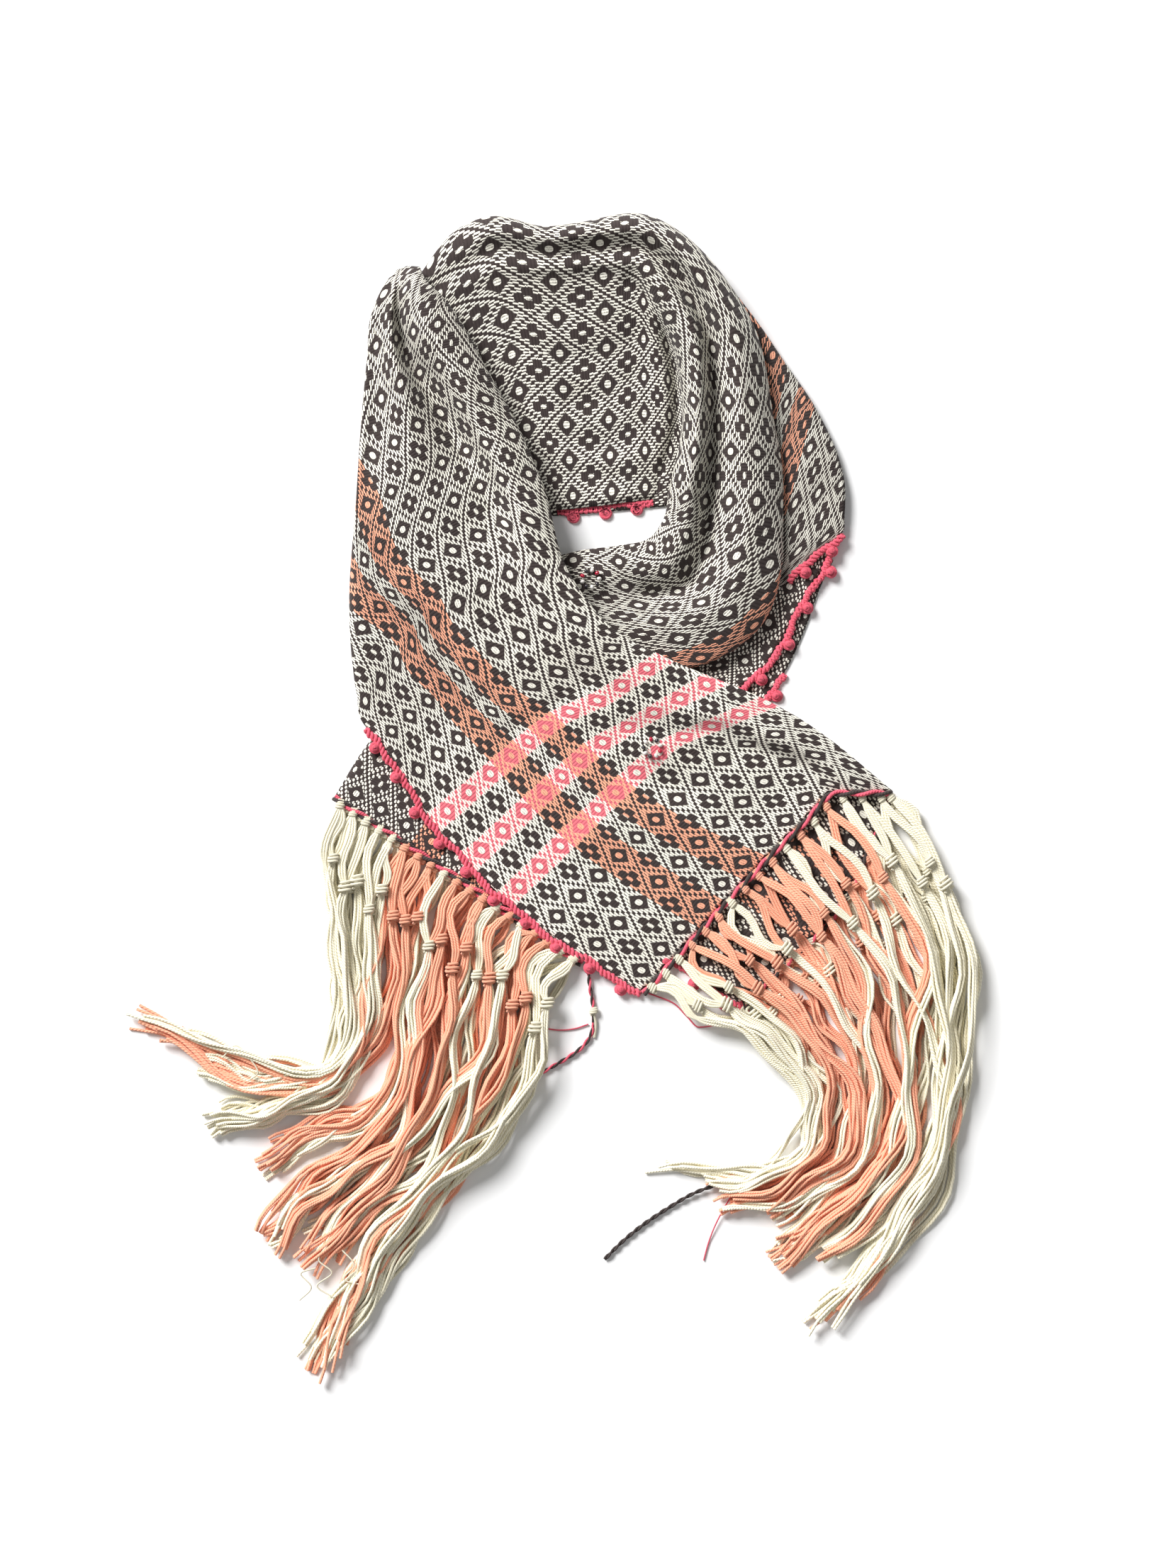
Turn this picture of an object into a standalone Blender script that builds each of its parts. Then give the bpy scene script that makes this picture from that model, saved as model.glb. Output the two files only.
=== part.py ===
"""A handwoven cotton scarf, looped as if round a neck and laid flat on its back.

Frame: +Z up, the surface that the scarf lies on is z = 0, and the photo's up is +Y.
The tables are in millimetres, in plan as seen from straight above, and each height is
that of the middle of the cloth's thickness. The scarf is folded in half lengthwise, so
a tail is two layers that meet at the fold, which is on the neck's side.
"""
from collections import namedtuple
from math import pi, sin

import bmesh
import bpy
import numpy as np
from mathutils import Vector

MM = 0.001
MIDDLE = Vector((1.5, 4.5, 0.0))   # middle of the laid-out scarf in the tables' plan
CLOTH = 1.6            # thickness of the woven cloth
SEAM_GAP = 0.3         # clear space between two pieces that meet
SELVEDGE_INSET = 6.0   # first line of points inside a selvedge
ROLL_INSET = 10.0      # how far a rolled edge is tucked in under itself

EDGING_WIDTH = 2.6     # crocheted edging on a selvedge
EDGING_HEIGHT = 1.8
EDGING_GAP = 0.5       # a selvedge's rim leans, so its edging stays a little further off
PICOT_PITCH = 25.0
PICOT_REACH = 4.6
PICOT_STEPS = 6
PICOT_RISE = 0.25      # a picot is that share thicker than the band beside it
HEM_WIDTH = 2.4        # twined cord on a hem
HEM_HEIGHT = 1.9


def clear_scene():
    for old in list(bpy.data.objects):
        bpy.data.objects.remove(old, do_unlink=True)


def make_material(name, colour, roughness):
    material = bpy.data.materials.new(name)
    material.use_nodes = True
    shader = material.node_tree.nodes["Principled BSDF"]
    shader.inputs["Base Color"].default_value = (*colour, 1.0)
    shader.inputs["Roughness"].default_value = roughness
    shader.inputs["Metallic"].default_value = 0.0
    return material


def slopes(knots, values):
    """The slope of a smooth curve at each knot, kept low enough not to overshoot."""
    steps = np.diff(knots)[:, None]
    rises = np.diff(values, axis=0) / steps
    before, after = rises[:-1], rises[1:]
    inner = (before * steps[1:] + after * steps[:-1]) / (steps[1:] + steps[:-1])
    most = 3 * np.minimum(abs(before), abs(after)) * (before * after > 0)
    return np.vstack([rises[:1], np.clip(inner, -most, most), rises[-1:]])


def read_curve(knots, values, places):
    """A cubic curve through the values, read at the places."""
    flat = values.reshape(len(values), -1)
    slope = slopes(knots, flat)
    span = np.clip(np.searchsorted(knots, places, side="right") - 1, 0, len(knots) - 2)
    length = (knots[span + 1] - knots[span])[:, None]
    part = ((places - knots[span])[:, None]) / length
    start, end = flat[span], flat[span + 1]
    square, cube = part**2, part**3
    curve = (
        (2 * cube - 3 * square + 1) * start
        + (cube - 2 * square + part) * length * slope[span]
        + (3 * square - 2 * cube) * end
        + (cube - square) * length * slope[span + 1]
    )
    return curve.reshape((len(places),) + values.shape[1:])


def knots_along(rows):
    """Knots for a set of rows, spaced as the mean distance from row to row."""
    gaps = np.linalg.norm(np.diff(rows, axis=0), axis=-1)
    while gaps.ndim > 1:
        gaps = gaps.mean(axis=-1)
    return np.concatenate([[0.0], np.cumsum(np.maximum(gaps, 0.5))])


def sheet(rows, along, cells, start=0.0, end=1.0):
    """A net of cloth points: a row of points for each section, read smoothly both ways.

    cells says into how many cells each step from one column to the next is divided."""
    columns = np.array(rows, dtype=float).transpose(1, 0, 2)
    knots = knots_along(columns)
    across = [low + (high - low) * cell / count
              for low, high, count in zip(knots[:-1], knots[1:], cells) for cell in range(count)]
    rows = read_curve(knots, columns, np.array(across + [knots[-1]])).transpose(1, 0, 2)
    knots = knots_along(rows)
    return read_curve(knots, rows, np.linspace(start, end, along) * knots[-1])


def read_edge(line, places):
    """Points on a net's edge, straight from one of its points to the next."""
    return np.stack([np.interp(places, edge_lengths(line), values) for values in line.T], axis=1)


def edge_lengths(line):
    return np.concatenate([[0.0], np.cumsum(np.linalg.norm(np.diff(line, axis=0), axis=1))])


def towards(a, b, distance):
    """The point that lies a distance from a on the way to b, in plan."""
    step = np.subtract(b, a)
    return np.add(a, step * distance / np.linalg.norm(step))


def between(a, b, share):
    return np.add(np.multiply(a, 1 - share), np.multiply(b, share))


def at_height(point, height):
    return (point[0], point[1], height)


def in_metres(point):
    """A table point, in millimetres, becomes a place about the scarf's middle."""
    return (Vector(point) - MIDDLE) * MM


def finish_object(name, bm, material):
    bmesh.ops.recalc_face_normals(bm, faces=bm.faces)
    mesh = bpy.data.meshes.new(name)
    bm.to_mesh(mesh)
    bm.free()
    mesh.materials.append(material)
    mesh.shade_smooth()
    made = bpy.data.objects.new(name, mesh)
    bpy.context.scene.collection.objects.link(made)
    return made


def cloth_wall(name, net, material):
    """A net of points becomes a cloth of even thickness, closed at its rims."""
    along, across = net.shape[:2]
    bm = bmesh.new()
    bmesh.ops.create_grid(bm, x_segments=across - 1, y_segments=along - 1, size=1.0)
    bm.verts.ensure_lookup_table()
    for vert, point in zip(bm.verts, net.reshape(-1, 3)):
        vert.co = in_metres(point)
    made = finish_object(name, bm, material)
    solid = made.modifiers.new("Cloth thickness", "SOLIDIFY")
    solid.thickness = CLOTH * MM
    solid.offset = 0.0
    solid.use_rim = True
    return made


def outward_sides(line, inside):
    """Unit vectors in plan, square to an edge line and away from the inside line."""
    run = np.gradient(line, axis=0)
    side = np.stack([run[:, 1], -run[:, 0], np.zeros(len(line))], axis=1)
    side *= np.sign(np.sum(side * (line - inside), axis=1))[:, None]
    return side / np.linalg.norm(side, axis=1)[:, None]


def bar_frame(bm, line, side, width, height, gap=SEAM_GAP):
    """Rings of four points round a line, with their lower side level with the cloth's."""
    rings = []
    for point, out, reach, tall in zip(line, side, width, height):
        ring = []
        for across, up in ((0.0, 0.0), (1.0, 0.0), (1.0, 1.0), (0.0, 1.0)):
            place = point + out * (gap + across * reach)
            place = place + np.array((0.0, 0.0, up * tall - CLOTH / 2))
            ring.append(bm.verts.new(in_metres(place)))
        rings.append(ring)
    return rings


def join_rings(bm, rings):
    """Faces between the rings and over both ends; returns the far-side faces."""
    outer = []
    for near, far in zip(rings[:-1], rings[1:]):
        for corner in range(4):
            after = (corner + 1) % 4
            face = bm.faces.new((near[corner], near[after], far[after], far[corner]))
            if corner == 1:
                outer.append(face)
    bm.faces.new(rings[0])
    bm.faces.new(reversed(rings[-1]))
    return outer


def picot_edging(name, line, inside, material):
    """A narrow crocheted band beside a selvedge, with a round picot at even steps."""
    length = edge_lengths(line)[-1]
    picots = max(1, round(length / PICOT_PITCH))
    corners = edge_lengths(line) / length
    share = np.union1d(np.linspace(0.0, 1.0, picots * PICOT_STEPS + 1).round(4), corners.round(4))
    share = share[np.concatenate([[True], np.diff(share) > 0.002])]
    line = read_edge(line, share * length)
    side = outward_sides(line, read_edge(inside, share * edge_lengths(inside)[-1]))
    swell = np.maximum(0.0, -np.cos(2 * pi * share * picots)) ** 2
    bm = bmesh.new()
    width = EDGING_WIDTH + PICOT_REACH * swell
    height = EDGING_HEIGHT * (1 + PICOT_RISE * swell)
    rings = bar_frame(bm, line, side, width, height, EDGING_GAP)
    join_rings(bm, rings)
    return finish_object(name, bm, material)


clear_scene()
WOVEN = make_material("woven_cotton", (0.62, 0.55, 0.48), 0.9)
EDGE = make_material("crochet_cotton", (0.70, 0.12, 0.18), 0.85)
YARN = make_material("fringe_cotton", (0.86, 0.66, 0.50), 0.9)

# The front stretch: down the left side of the neck and over the other tail to its hem.
# outer is its selvedge, or its silhouette where it rolls under (rolled = 1), and fold
# is its edge on the neck's side. One row for each section, from the hem up. heights has
# one value for each column of points that front_section gives, from outer to fold.
FrontRow = namedtuple("FrontRow", "outer shoulder crease fold rolled heights")
FRONT = (
    FrontRow((60, -132), (149, -36), (190, 4), (229, 4), 0.0, (2.6, 2.8, 4.2, 4.6, 5.0, 7.2, 5.2, 3.4)),
    FrontRow((10, -101), (101, -12), (146, 28), (185, 40), 0.0, (7.0, 7.2, 7.6, 8.0, 8.6, 12, 9.0, 5.0)),
    FrontRow((-32, -69), (55, 15), (79, 36), (146, 64), 0.0, (7.0, 7.5, 9.5, 10.5, 12, 16, 13, 8.5)),
    FrontRow((-81, -17), (5, 54), (34, 67), (75, 94), 0.0, (6.5, 7.5, 11, 13, 16, 22, 19, 15)),
    FrontRow((-113, 33), (-43, 86), (-10, 105), (36, 117), 0.0, (6.8, 7.7, 14, 17, 20, 27, 24, 19)),
    FrontRow((-133, 60), (-72, 127), (-29, 151), (9, 154), 0.2, (6.2, 8.0, 18, 22, 24, 31, 26, 20)),
    FrontRow((-137, 132), (-98, 170), (-43, 201), (-6, 208), 1.0, (1.4, 8.5, 20, 26, 21, 34, 25, 18)),
    FrontRow((-132, 204), (-120, 208), (-65, 240), (-25, 252), 1.0, (1.2, 9.0, 17, 28, 17, 35, 22, 14)),
    FrontRow((-129, 252), (-113, 256), (-85, 278), (-43, 285), 1.0, (1.2, 9.0, 17, 28, 16, 35, 21, 13)),
    FrontRow((-125, 295), (-115, 300), (-101, 305), (-60, 316), 1.0, (1.2, 9.0, 17, 25, 16, 35, 21, 13)),
    FrontRow((-122, 326), (-113, 329), (-105, 331), (-74, 336), 1.0, (1.2, 8.0, 15, 20, 16, 31, 21, 14)),
    FrontRow((-112, 348), (-107, 348), (-102, 348), (-86, 348), 1.0, (1.2, 6.0, 10, 13, 14, 23, 19, 14)),
    FrontRow((-105, 356), (-102, 357), (-98, 358), (-90, 357), 1.0, (1.2, 3.5, 6.0, 8.0, 9.0, 12, 13, 12)),
)


NARROW = 60            # a section narrower than this is tucked under less


def front_section(row):
    inset = SELVEDGE_INSET * (1 - row.rolled)
    narrow = min(1.0, np.linalg.norm(np.subtract(row.fold, row.outer)) / NARROW)
    plan = (
        towards(row.outer, row.crease, ROLL_INSET * row.rolled * narrow + 0.01),
        towards(row.outer, row.crease, inset + 0.02),
        row.shoulder,
        between(row.shoulder, row.crease, 0.5),
        row.crease,
        between(row.crease, row.fold, 0.5),
        row.fold,
        towards(row.fold, row.crease, ROLL_INSET * narrow),
    )
    return [at_height(point, height) for point, height in zip(plan, row.heights)]


front_net = sheet([front_section(row) for row in FRONT], along=30, cells=(1, 3, 3, 3, 3, 3, 2))
cloth_wall("front_stretch", front_net, WOVEN)

# The neck ring: the back of the neck shows its inner face, and at the right it rolls
# into two long rolls that turn down and left under the front stretch. foot is the edge
# at the hole or tucked under, rim is the inner roll's edge on the hole's side, crease
# parts the two rolls, and outer is the outer edge, tucked under by tuck. One row for
# each section, from the upper left round to the crossing.
RingRow = namedtuple("RingRow", "foot rim crease outer tuck heights")
RING = (
    RingRow((-38, 187), (-86, 328), (-89, 338), (-92, 350), 6, (2.8, 4.0, 5.0, 6.0, 5.5, 6.0, 4.0, 1.4)),
    RingRow((-19, 190), (-55, 338), (-60, 355), (-65, 382), 10, (2.8, 5.0, 12, 14, 13, 17, 10, 1.4)),
    RingRow((-2, 193), (-31, 348), (-35, 367), (-38, 391), 12, (2.8, 6.0, 18, 21, 19, 28, 13, 1.4)),
    RingRow((14, 195), (0, 348), (-2, 364), (-5, 384), 12, (2.8, 7.0, 20, 24, 22, 31, 14, 1.4)),
    RingRow((34, 197), (26, 350), (24, 367), (20, 387), 12, (2.8, 7.0, 20, 24, 22, 31, 14, 1.4)),
    RingRow((55, 200), (54, 351), (55, 369), (54, 393), 12, (2.8, 7.0, 20, 26, 22, 32, 14, 1.4)),
    RingRow((74, 202), (70, 328), (83, 351), (89, 378), 12, (2.8, 8.0, 19, 30, 20, 33, 14, 1.4)),
    RingRow((90, 206), (84, 300), (106, 309), (133, 322), 12, (2.8, 8.0, 17, 32, 18, 33, 14, 8.0)),
    RingRow((101, 208), (88, 256), (108, 256), (149, 252), 12, (2.0, 8.0, 15, 33, 17, 33, 13, 8.2)),
    RingRow((98, 204), (79, 208), (106, 208), (155, 208), 12, (2.6, 7.0, 14, 32, 16, 31, 13, 8.2)),
    RingRow((89, 175), (75, 187), (102, 168), (154, 156), 12, (5.2, 7.5, 12, 26, 14, 27, 13, 8.4)),
    RingRow((70, 160), (65, 174), (86, 141), (142, 118), 12, (5.2, 7.0, 10, 20, 11, 23, 12, 8.0)),
    RingRow((43, 156), (43, 169), (53, 137), (106, 91), 12, (5.2, 6.5, 9.0, 15, 9.0, 17, 10, 7.0)),
    RingRow((19, 153), (19, 166), (26, 135), (70, 86), 12, (5.2, 6.2, 8.0, 12, 8.0, 12, 9.0, 6.4)),
    RingRow((-5, 148), (-5, 160), (0, 136), (38, 93), 12, (5.2, 6.0, 7.0, 9.5, 7.0, 9.5, 8.0, 6.0)),
)
RING_SPLIT = 0.385     # share of the ring where the neck back ends and the rolls begin
RING_CUT = 0.0006      # half the clear cut between them, as a share of the ring


def ring_section(row):
    plan = (
        row.foot,
        between(row.foot, row.rim, 0.5),
        row.rim,
        between(row.rim, row.crease, 0.5),
        row.crease,
        between(row.crease, row.outer, 0.5),
        row.outer,
        towards(row.outer, row.crease, row.tuck),
    )
    return [at_height(point, height) for point, height in zip(plan, row.heights)]


ring_rows = [ring_section(row) for row in RING]
RING_CELLS = (3, 3, 3, 3, 3, 3, 2)
neck_net = sheet(ring_rows, along=16, cells=RING_CELLS, end=RING_SPLIT - RING_CUT)
cloth_wall("neck_back", neck_net, WOVEN)
rolls_net = sheet(ring_rows, along=25, cells=RING_CELLS, start=RING_SPLIT + RING_CUT)
cloth_wall("right_rolls", rolls_net, WOVEN)

# The under layer of the neck back, which shows as a dark strip with two picots in the
# gap. low is its selvedge, high its hidden side.
NeckUnderRow = namedtuple("NeckUnderRow", "low high")
NECK_UNDER = (
    NeckUnderRow((-8, 190), (-8, 214)),
    NeckUnderRow((10, 190.5), (12, 216)),
    NeckUnderRow((38, 193), (40, 218)),
    NeckUnderRow((80, 197), (82, 218)),
)
FLOOR_LAYER = CLOTH / 2            # height of a layer that lies on the surface
LOFT = 0.7                         # air between two layers, beyond the seam gap
SECOND_LAYER = CLOTH * 1.5 + SEAM_GAP + LOFT
FLAT_INSET = 4.0                   # first line of points inside a flat layer's edge


def flat_section(near, far):
    plan = (near, towards(near, far, FLAT_INSET), between(near, far, 0.5), far)
    return [at_height(point, FLOOR_LAYER) for point in plan]


neck_under_rows = [flat_section(row.low, row.high) for row in NECK_UNDER]
neck_under_net = sheet(neck_under_rows, along=8, cells=(1, 1, 1))
cloth_wall("neck_back_under", neck_under_net, WOVEN)

# The outer panel at the right, from under the outer roll to the silhouette. Higher up
# the silhouette rolls under (rolled = 1), and lower down it is the selvedge.
PanelRow = namedtuple("PanelRow", "outer inner rolled heights")
PANEL = (
    PanelRow((125, 338), (119, 328), 1.0, (1.2, 3.0, 3.6, 4.0, 4.2)),
    PanelRow((140, 318), (128, 310), 1.0, (1.2, 4.4, 6.0, 5.4, 4.6)),
    PanelRow((154, 297), (134, 290), 1.0, (1.2, 5.0, 7.6, 6.2, 4.8)),
    PanelRow((178, 261), (137, 252), 1.0, (1.2, 5.4, 9.0, 7.4, 4.8)),
    PanelRow((193, 228), (139, 213), 1.0, (1.6, 5.6, 9.6, 7.6, 4.9)),
    PanelRow((198, 206), (142, 180), 0.5, (5.2, 6.4, 9.0, 7.6, 5.2)),
    PanelRow((197, 182), (144, 156), 0.0, (5.9, 6.2, 8.0, 7.0, 5.4)),
    PanelRow((178, 166), (146, 144), 0.0, (5.7, 5.8, 6.6, 6.2, 5.4)),
    PanelRow((159, 146), (144, 136), 0.0, (5.5, 5.55, 5.8, 5.6, 5.4)),
)
PANEL_ROLL = 7.0       # how far its rolled edge is tucked in
PANEL_INSET = 2.0      # first line of points inside its selvedge


def panel_section(row):
    plan = (
        towards(row.outer, row.inner, PANEL_ROLL * row.rolled + 0.01),
        towards(row.outer, row.inner, PANEL_INSET * (1 - row.rolled) + 0.02),
        between(row.outer, row.inner, 0.4),
        between(row.outer, row.inner, 0.7),
        row.inner,
    )
    return [at_height(point, height) for point, height in zip(plan, row.heights)]


panel_net = sheet([panel_section(row) for row in PANEL], along=14, cells=(1, 3, 3, 2))
cloth_wall("outer_panel", panel_net, WOVEN)

# The left tail: two layers that run from the hem at the lower left, under the front
# stretch, to the lower right. selvedge is the upper layer's free edge, under_edge the
# under layer's, and fold the edge where the two layers meet.
TailRow = namedtuple("TailRow", "selvedge fold under_edge")
LEFT_TAIL = (
    TailRow((22, -109), (-147, 1), (20, -112)),
    TailRow((48, -60), (-125, 36), (46, -63)),
    TailRow((77, -12), (-86, 79), (80, -15)),
    TailRow((101, 31), (-38, 108), (120, 21)),
    TailRow((125, 72), (10, 127), (143, 64)),
    TailRow((142, 86), (48, 141), (159, 88)),
    TailRow((162, 120), (86, 160), (172, 117)),
    TailRow((178, 148), (125, 184), (182, 144)),
    TailRow((188, 168), (150, 200), (190, 160)),
)
EDGE_INSET = 5.0       # first line of points inside the upper layer's edges
FOLD_DROP = 1.8        # drop of the upper layer's edge round the fold
FOLD_ROOM = 6.0        # the under layer stops that far inside the fold


def upper_section(row):
    near_fold = towards(row.fold, row.selvedge, EDGE_INSET)
    near_selvedge = towards(row.selvedge, row.fold, EDGE_INSET)
    flat = (row.selvedge, near_selvedge, between(row.selvedge, row.fold, 0.5), near_fold)
    points = [at_height(point, SECOND_LAYER) for point in flat]
    return points + [at_height(row.fold, SECOND_LAYER - FOLD_DROP)]


def under_section(row):
    return flat_section(row.under_edge, towards(row.fold, row.selvedge, FOLD_ROOM))


left_tail_net = sheet([upper_section(row) for row in LEFT_TAIL], along=18, cells=(1, 2, 2, 1))
cloth_wall("left_tail", left_tail_net, WOVEN)
left_under_net = sheet([under_section(row) for row in LEFT_TAIL], along=18, cells=(1, 2, 2))
cloth_wall("left_tail_under", left_under_net, WOVEN)

# The under layer of the front tail, which shows between the strands of its fringe.
TailUnderRow = namedtuple("TailUnderRow", "selvedge middle fold")
FRONT_UNDER = (
    TailUnderRow((129, -141), (196, -70), (228, 2)),
    TailUnderRow((100, -124), (160, -45), (194, 24)),
    TailUnderRow((70, -100), (118, -25), (158, 42)),
)


def front_under_section(row):
    plan = (
        row.selvedge,
        towards(row.selvedge, row.middle, EDGE_INSET),
        row.middle,
        row.fold,
    )
    return [at_height(point, FLOOR_LAYER) for point in plan]


front_under_net = sheet([front_under_section(row) for row in FRONT_UNDER], along=5, cells=(1, 3, 4))
cloth_wall("front_tail_under", front_under_net, WOVEN)

# Crocheted edging on each selvedge that shows, made from the cloth's own edge points.
# The rows are those where the selvedge is free: not rolled under, and not hidden.
FREE_ROWS = {
    "front_edging": (front_net, slice(0, 15)),
    "panel_edging": (panel_net, slice(11, None)),
    "second_layer_edging": (left_tail_net, slice(9, None)),
    "third_layer_edging": (left_under_net, slice(6, 13)),
    "front_under_edging": (front_under_net, slice(None)),
    "neck_edging": (neck_under_net, slice(1, 7)),
}
for name, (net, rows) in FREE_ROWS.items():
    picot_edging(name, net[rows, 0], net[rows, 2], EDGE)

# The fringe: bundles of warp yarn that hang from the twined cord on each hem, swept
# over the surface. A fringe lies between two guide lines, its first and last bundle,
# and the bundles between them share out the room. Each guide is a few points in plan.
LEFT_FIRST = ((-145, 0), (-155, -41), (-155, -80), (-150, -118), (-150, -150), (-168, -172),
              (-205, -172), (-245, -158), (-286, -147))
LEFT_LAST = ((10, -104), (-8, -128), (-9, -158), (-14, -190), (-32, -225), (-58, -254),
             (-90, -286), (-128, -336), (-160, -384))
RIGHT_FIRST = ((60, -132), (88, -148), (122, -164), (150, -186), (166, -210), (160, -234),
               (130, -248), (94, -249), (60, -244))
RIGHT_LAST = ((230, 6), (254, -30), (276, -72), (287, -118), (281, -165), (276, -208),
              (258, -262), (222, -312), (176, -354))
LOCKS = 22             # bundles on each hem
LOCK_STEPS = 8
TIP_START = 0.84       # share of a bundle's length where its tip comes down
TIP_TAPER = 0.6
LENGTH_SPREAD = 0.06   # share by which the bundles' lengths differ


def guide(points, places):
    points = np.array(points, dtype=float)
    knots = knots_along(points)
    return read_curve(knots / knots[-1], points, places)


def lane(first, last, share, root, places):
    """The path of one bundle: a share of the way between the guides, from its root."""
    path = guide(first, places) * (1 - share) + guide(last, places) * share
    pull = ((1 - places) ** 4)[:, None]
    return path + (root - path[0]) * pull


def lock_heights(root, low, crown, tip):
    """From the cord down to the layer's own height, up over the pile and down to a tip."""
    part = np.linspace(0.0, 1.0, LOCK_STEPS + 1)
    settle = np.minimum(1.0, part * 3)
    drop = (tip - low) * np.maximum(0.0, part - TIP_START) / (1 - TIP_START)
    return root * (1 - settle) + low * settle + crown * np.sin(pi * part) + drop


def grow_lock(bm, ring, path, heights, layer):
    """A four-sided strand from a ring of four points of the cord, with a closed tip."""
    heading = np.gradient(path, axis=0)
    heading /= np.linalg.norm(heading, axis=1)[:, None]
    cord = ring[3].co - ring[0].co
    across = np.stack([heading[:, 1], -heading[:, 0]], axis=1)
    across *= np.sign(np.dot(across[0], cord[:2]))
    for step in range(1, LOCK_STEPS + 1):
        taper = 1.0 if step < LOCK_STEPS else TIP_TAPER
        moved = []
        for sideways, up in ((-0.5, -0.5), (-0.5, 0.5), (0.5, 0.5), (0.5, -0.5)):
            place = path[step] + across[step] * sideways * layer.width * taper
            height = heights[step] + up * layer.thickness * taper
            moved.append(bm.verts.new(in_metres((place[0], place[1], height))))
        for corner in range(4):
            after = (corner + 1) % 4
            bm.faces.new((ring[corner], ring[after], moved[after], moved[corner]))
        ring = moved
    bm.faces.new(ring)


def fringe(name, edge, inside, guides, layer):
    """A hem cord with its bundles, each grown from one face of the cord."""
    share = np.linspace(0.0, 1.0, 2 * LOCKS)
    line = read_edge(edge, share * edge_lengths(edge)[-1])
    side = outward_sides(line, read_edge(inside, share * edge_lengths(inside)[-1]))
    bm = bmesh.new()
    whole = np.ones(len(share))
    rings = bar_frame(bm, line, side, HEM_WIDTH * whole, HEM_HEIGHT * whole)
    outer = join_rings(bm, rings)
    for lock in range(LOCKS):
        near, far = rings[2 * lock], rings[2 * lock + 1]
        bm.faces.remove(outer[2 * lock])
        ring = (near[1], near[2], far[2], far[1])
        root = np.array(sum((corner.co for corner in ring), Vector()) / (4 * MM) + MIDDLE)
        end = layer.reach * (1 - LENGTH_SPREAD * sin(lock * 2.4) ** 2)
        places = np.linspace(0.0, end, LOCK_STEPS + 1)
        path = lane(*guides, lock / (LOCKS - 1), root[:2], places)
        lift = layer.lift * (lock % 2)
        heights = lock_heights(root[2], layer.low + lift, layer.crown, layer.tip)
        grow_lock(bm, ring, path, heights, layer)
    return finish_object(name, bm, YARN)


LEFT_GUIDES = (LEFT_FIRST, LEFT_LAST)
RIGHT_GUIDES = (RIGHT_FIRST, RIGHT_LAST)
Layer = namedtuple("Layer", "reach low lift crown tip width thickness")
UPPER = Layer(reach=1.0, low=4.4, lift=3.4, crown=5.0, tip=2.0, width=5.0, thickness=2.4)
UNDER = Layer(reach=0.88, low=1.1, lift=0.0, crown=0.1, tip=1.1, width=3.4, thickness=1.6)
FRONT_HEM = slice(0, -3)             # the hem cord stops short of the tucked fold
fringe("fringe_right", front_net[0, FRONT_HEM], front_net[1, FRONT_HEM], RIGHT_GUIDES, UPPER)
fringe("fringe_right_under", front_under_net[0], front_under_net[1], RIGHT_GUIDES, UNDER)
left_upper = left_tail_net[:2, -2::-1]
fringe("fringe_left", left_upper[0], left_upper[1], LEFT_GUIDES, UPPER)
left_lower = left_under_net[:2, ::-1]
fringe("fringe_left_under", left_lower[0], left_lower[1], LEFT_GUIDES, UNDER)
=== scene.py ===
"""Looks of a handwoven cotton scarf, looped as if round a neck and laid flat: its cloth,
crocheted edging, twined hems, knotted fringe and bead rings, with the light and camera.

The tables repeat the part's own plan, in millimetres as seen from straight above."""
from collections import namedtuple
from math import cos, pi, radians, sin, tau

import bmesh
import bpy
import numpy as np
from mathutils import Euler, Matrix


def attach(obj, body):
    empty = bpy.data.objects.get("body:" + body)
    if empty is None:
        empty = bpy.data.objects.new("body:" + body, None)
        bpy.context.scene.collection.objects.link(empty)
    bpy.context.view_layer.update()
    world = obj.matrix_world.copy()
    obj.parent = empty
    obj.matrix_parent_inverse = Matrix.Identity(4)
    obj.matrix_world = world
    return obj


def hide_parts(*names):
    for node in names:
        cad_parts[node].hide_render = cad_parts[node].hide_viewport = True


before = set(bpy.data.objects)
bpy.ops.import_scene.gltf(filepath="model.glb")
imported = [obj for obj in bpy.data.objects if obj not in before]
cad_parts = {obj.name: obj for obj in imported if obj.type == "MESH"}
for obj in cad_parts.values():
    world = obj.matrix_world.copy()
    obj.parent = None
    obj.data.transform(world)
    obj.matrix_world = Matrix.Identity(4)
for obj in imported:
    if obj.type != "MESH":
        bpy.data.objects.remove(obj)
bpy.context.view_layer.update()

# The camera looks straight down from three metres, as the photograph does, and its
# frame is 1.06 m high on the surface that the scarf lies on.
camera = bpy.data.cameras.new("Camera")
camera.sensor_fit = "VERTICAL"
camera.sensor_height = 24.0
camera.lens = 67.8
camera_stand = bpy.data.objects.new("Camera", camera)
camera_stand.location = (0.02226, 0.00414, 3.0)
bpy.context.scene.collection.objects.link(camera_stand)
bpy.context.scene.camera = camera_stand

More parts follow.
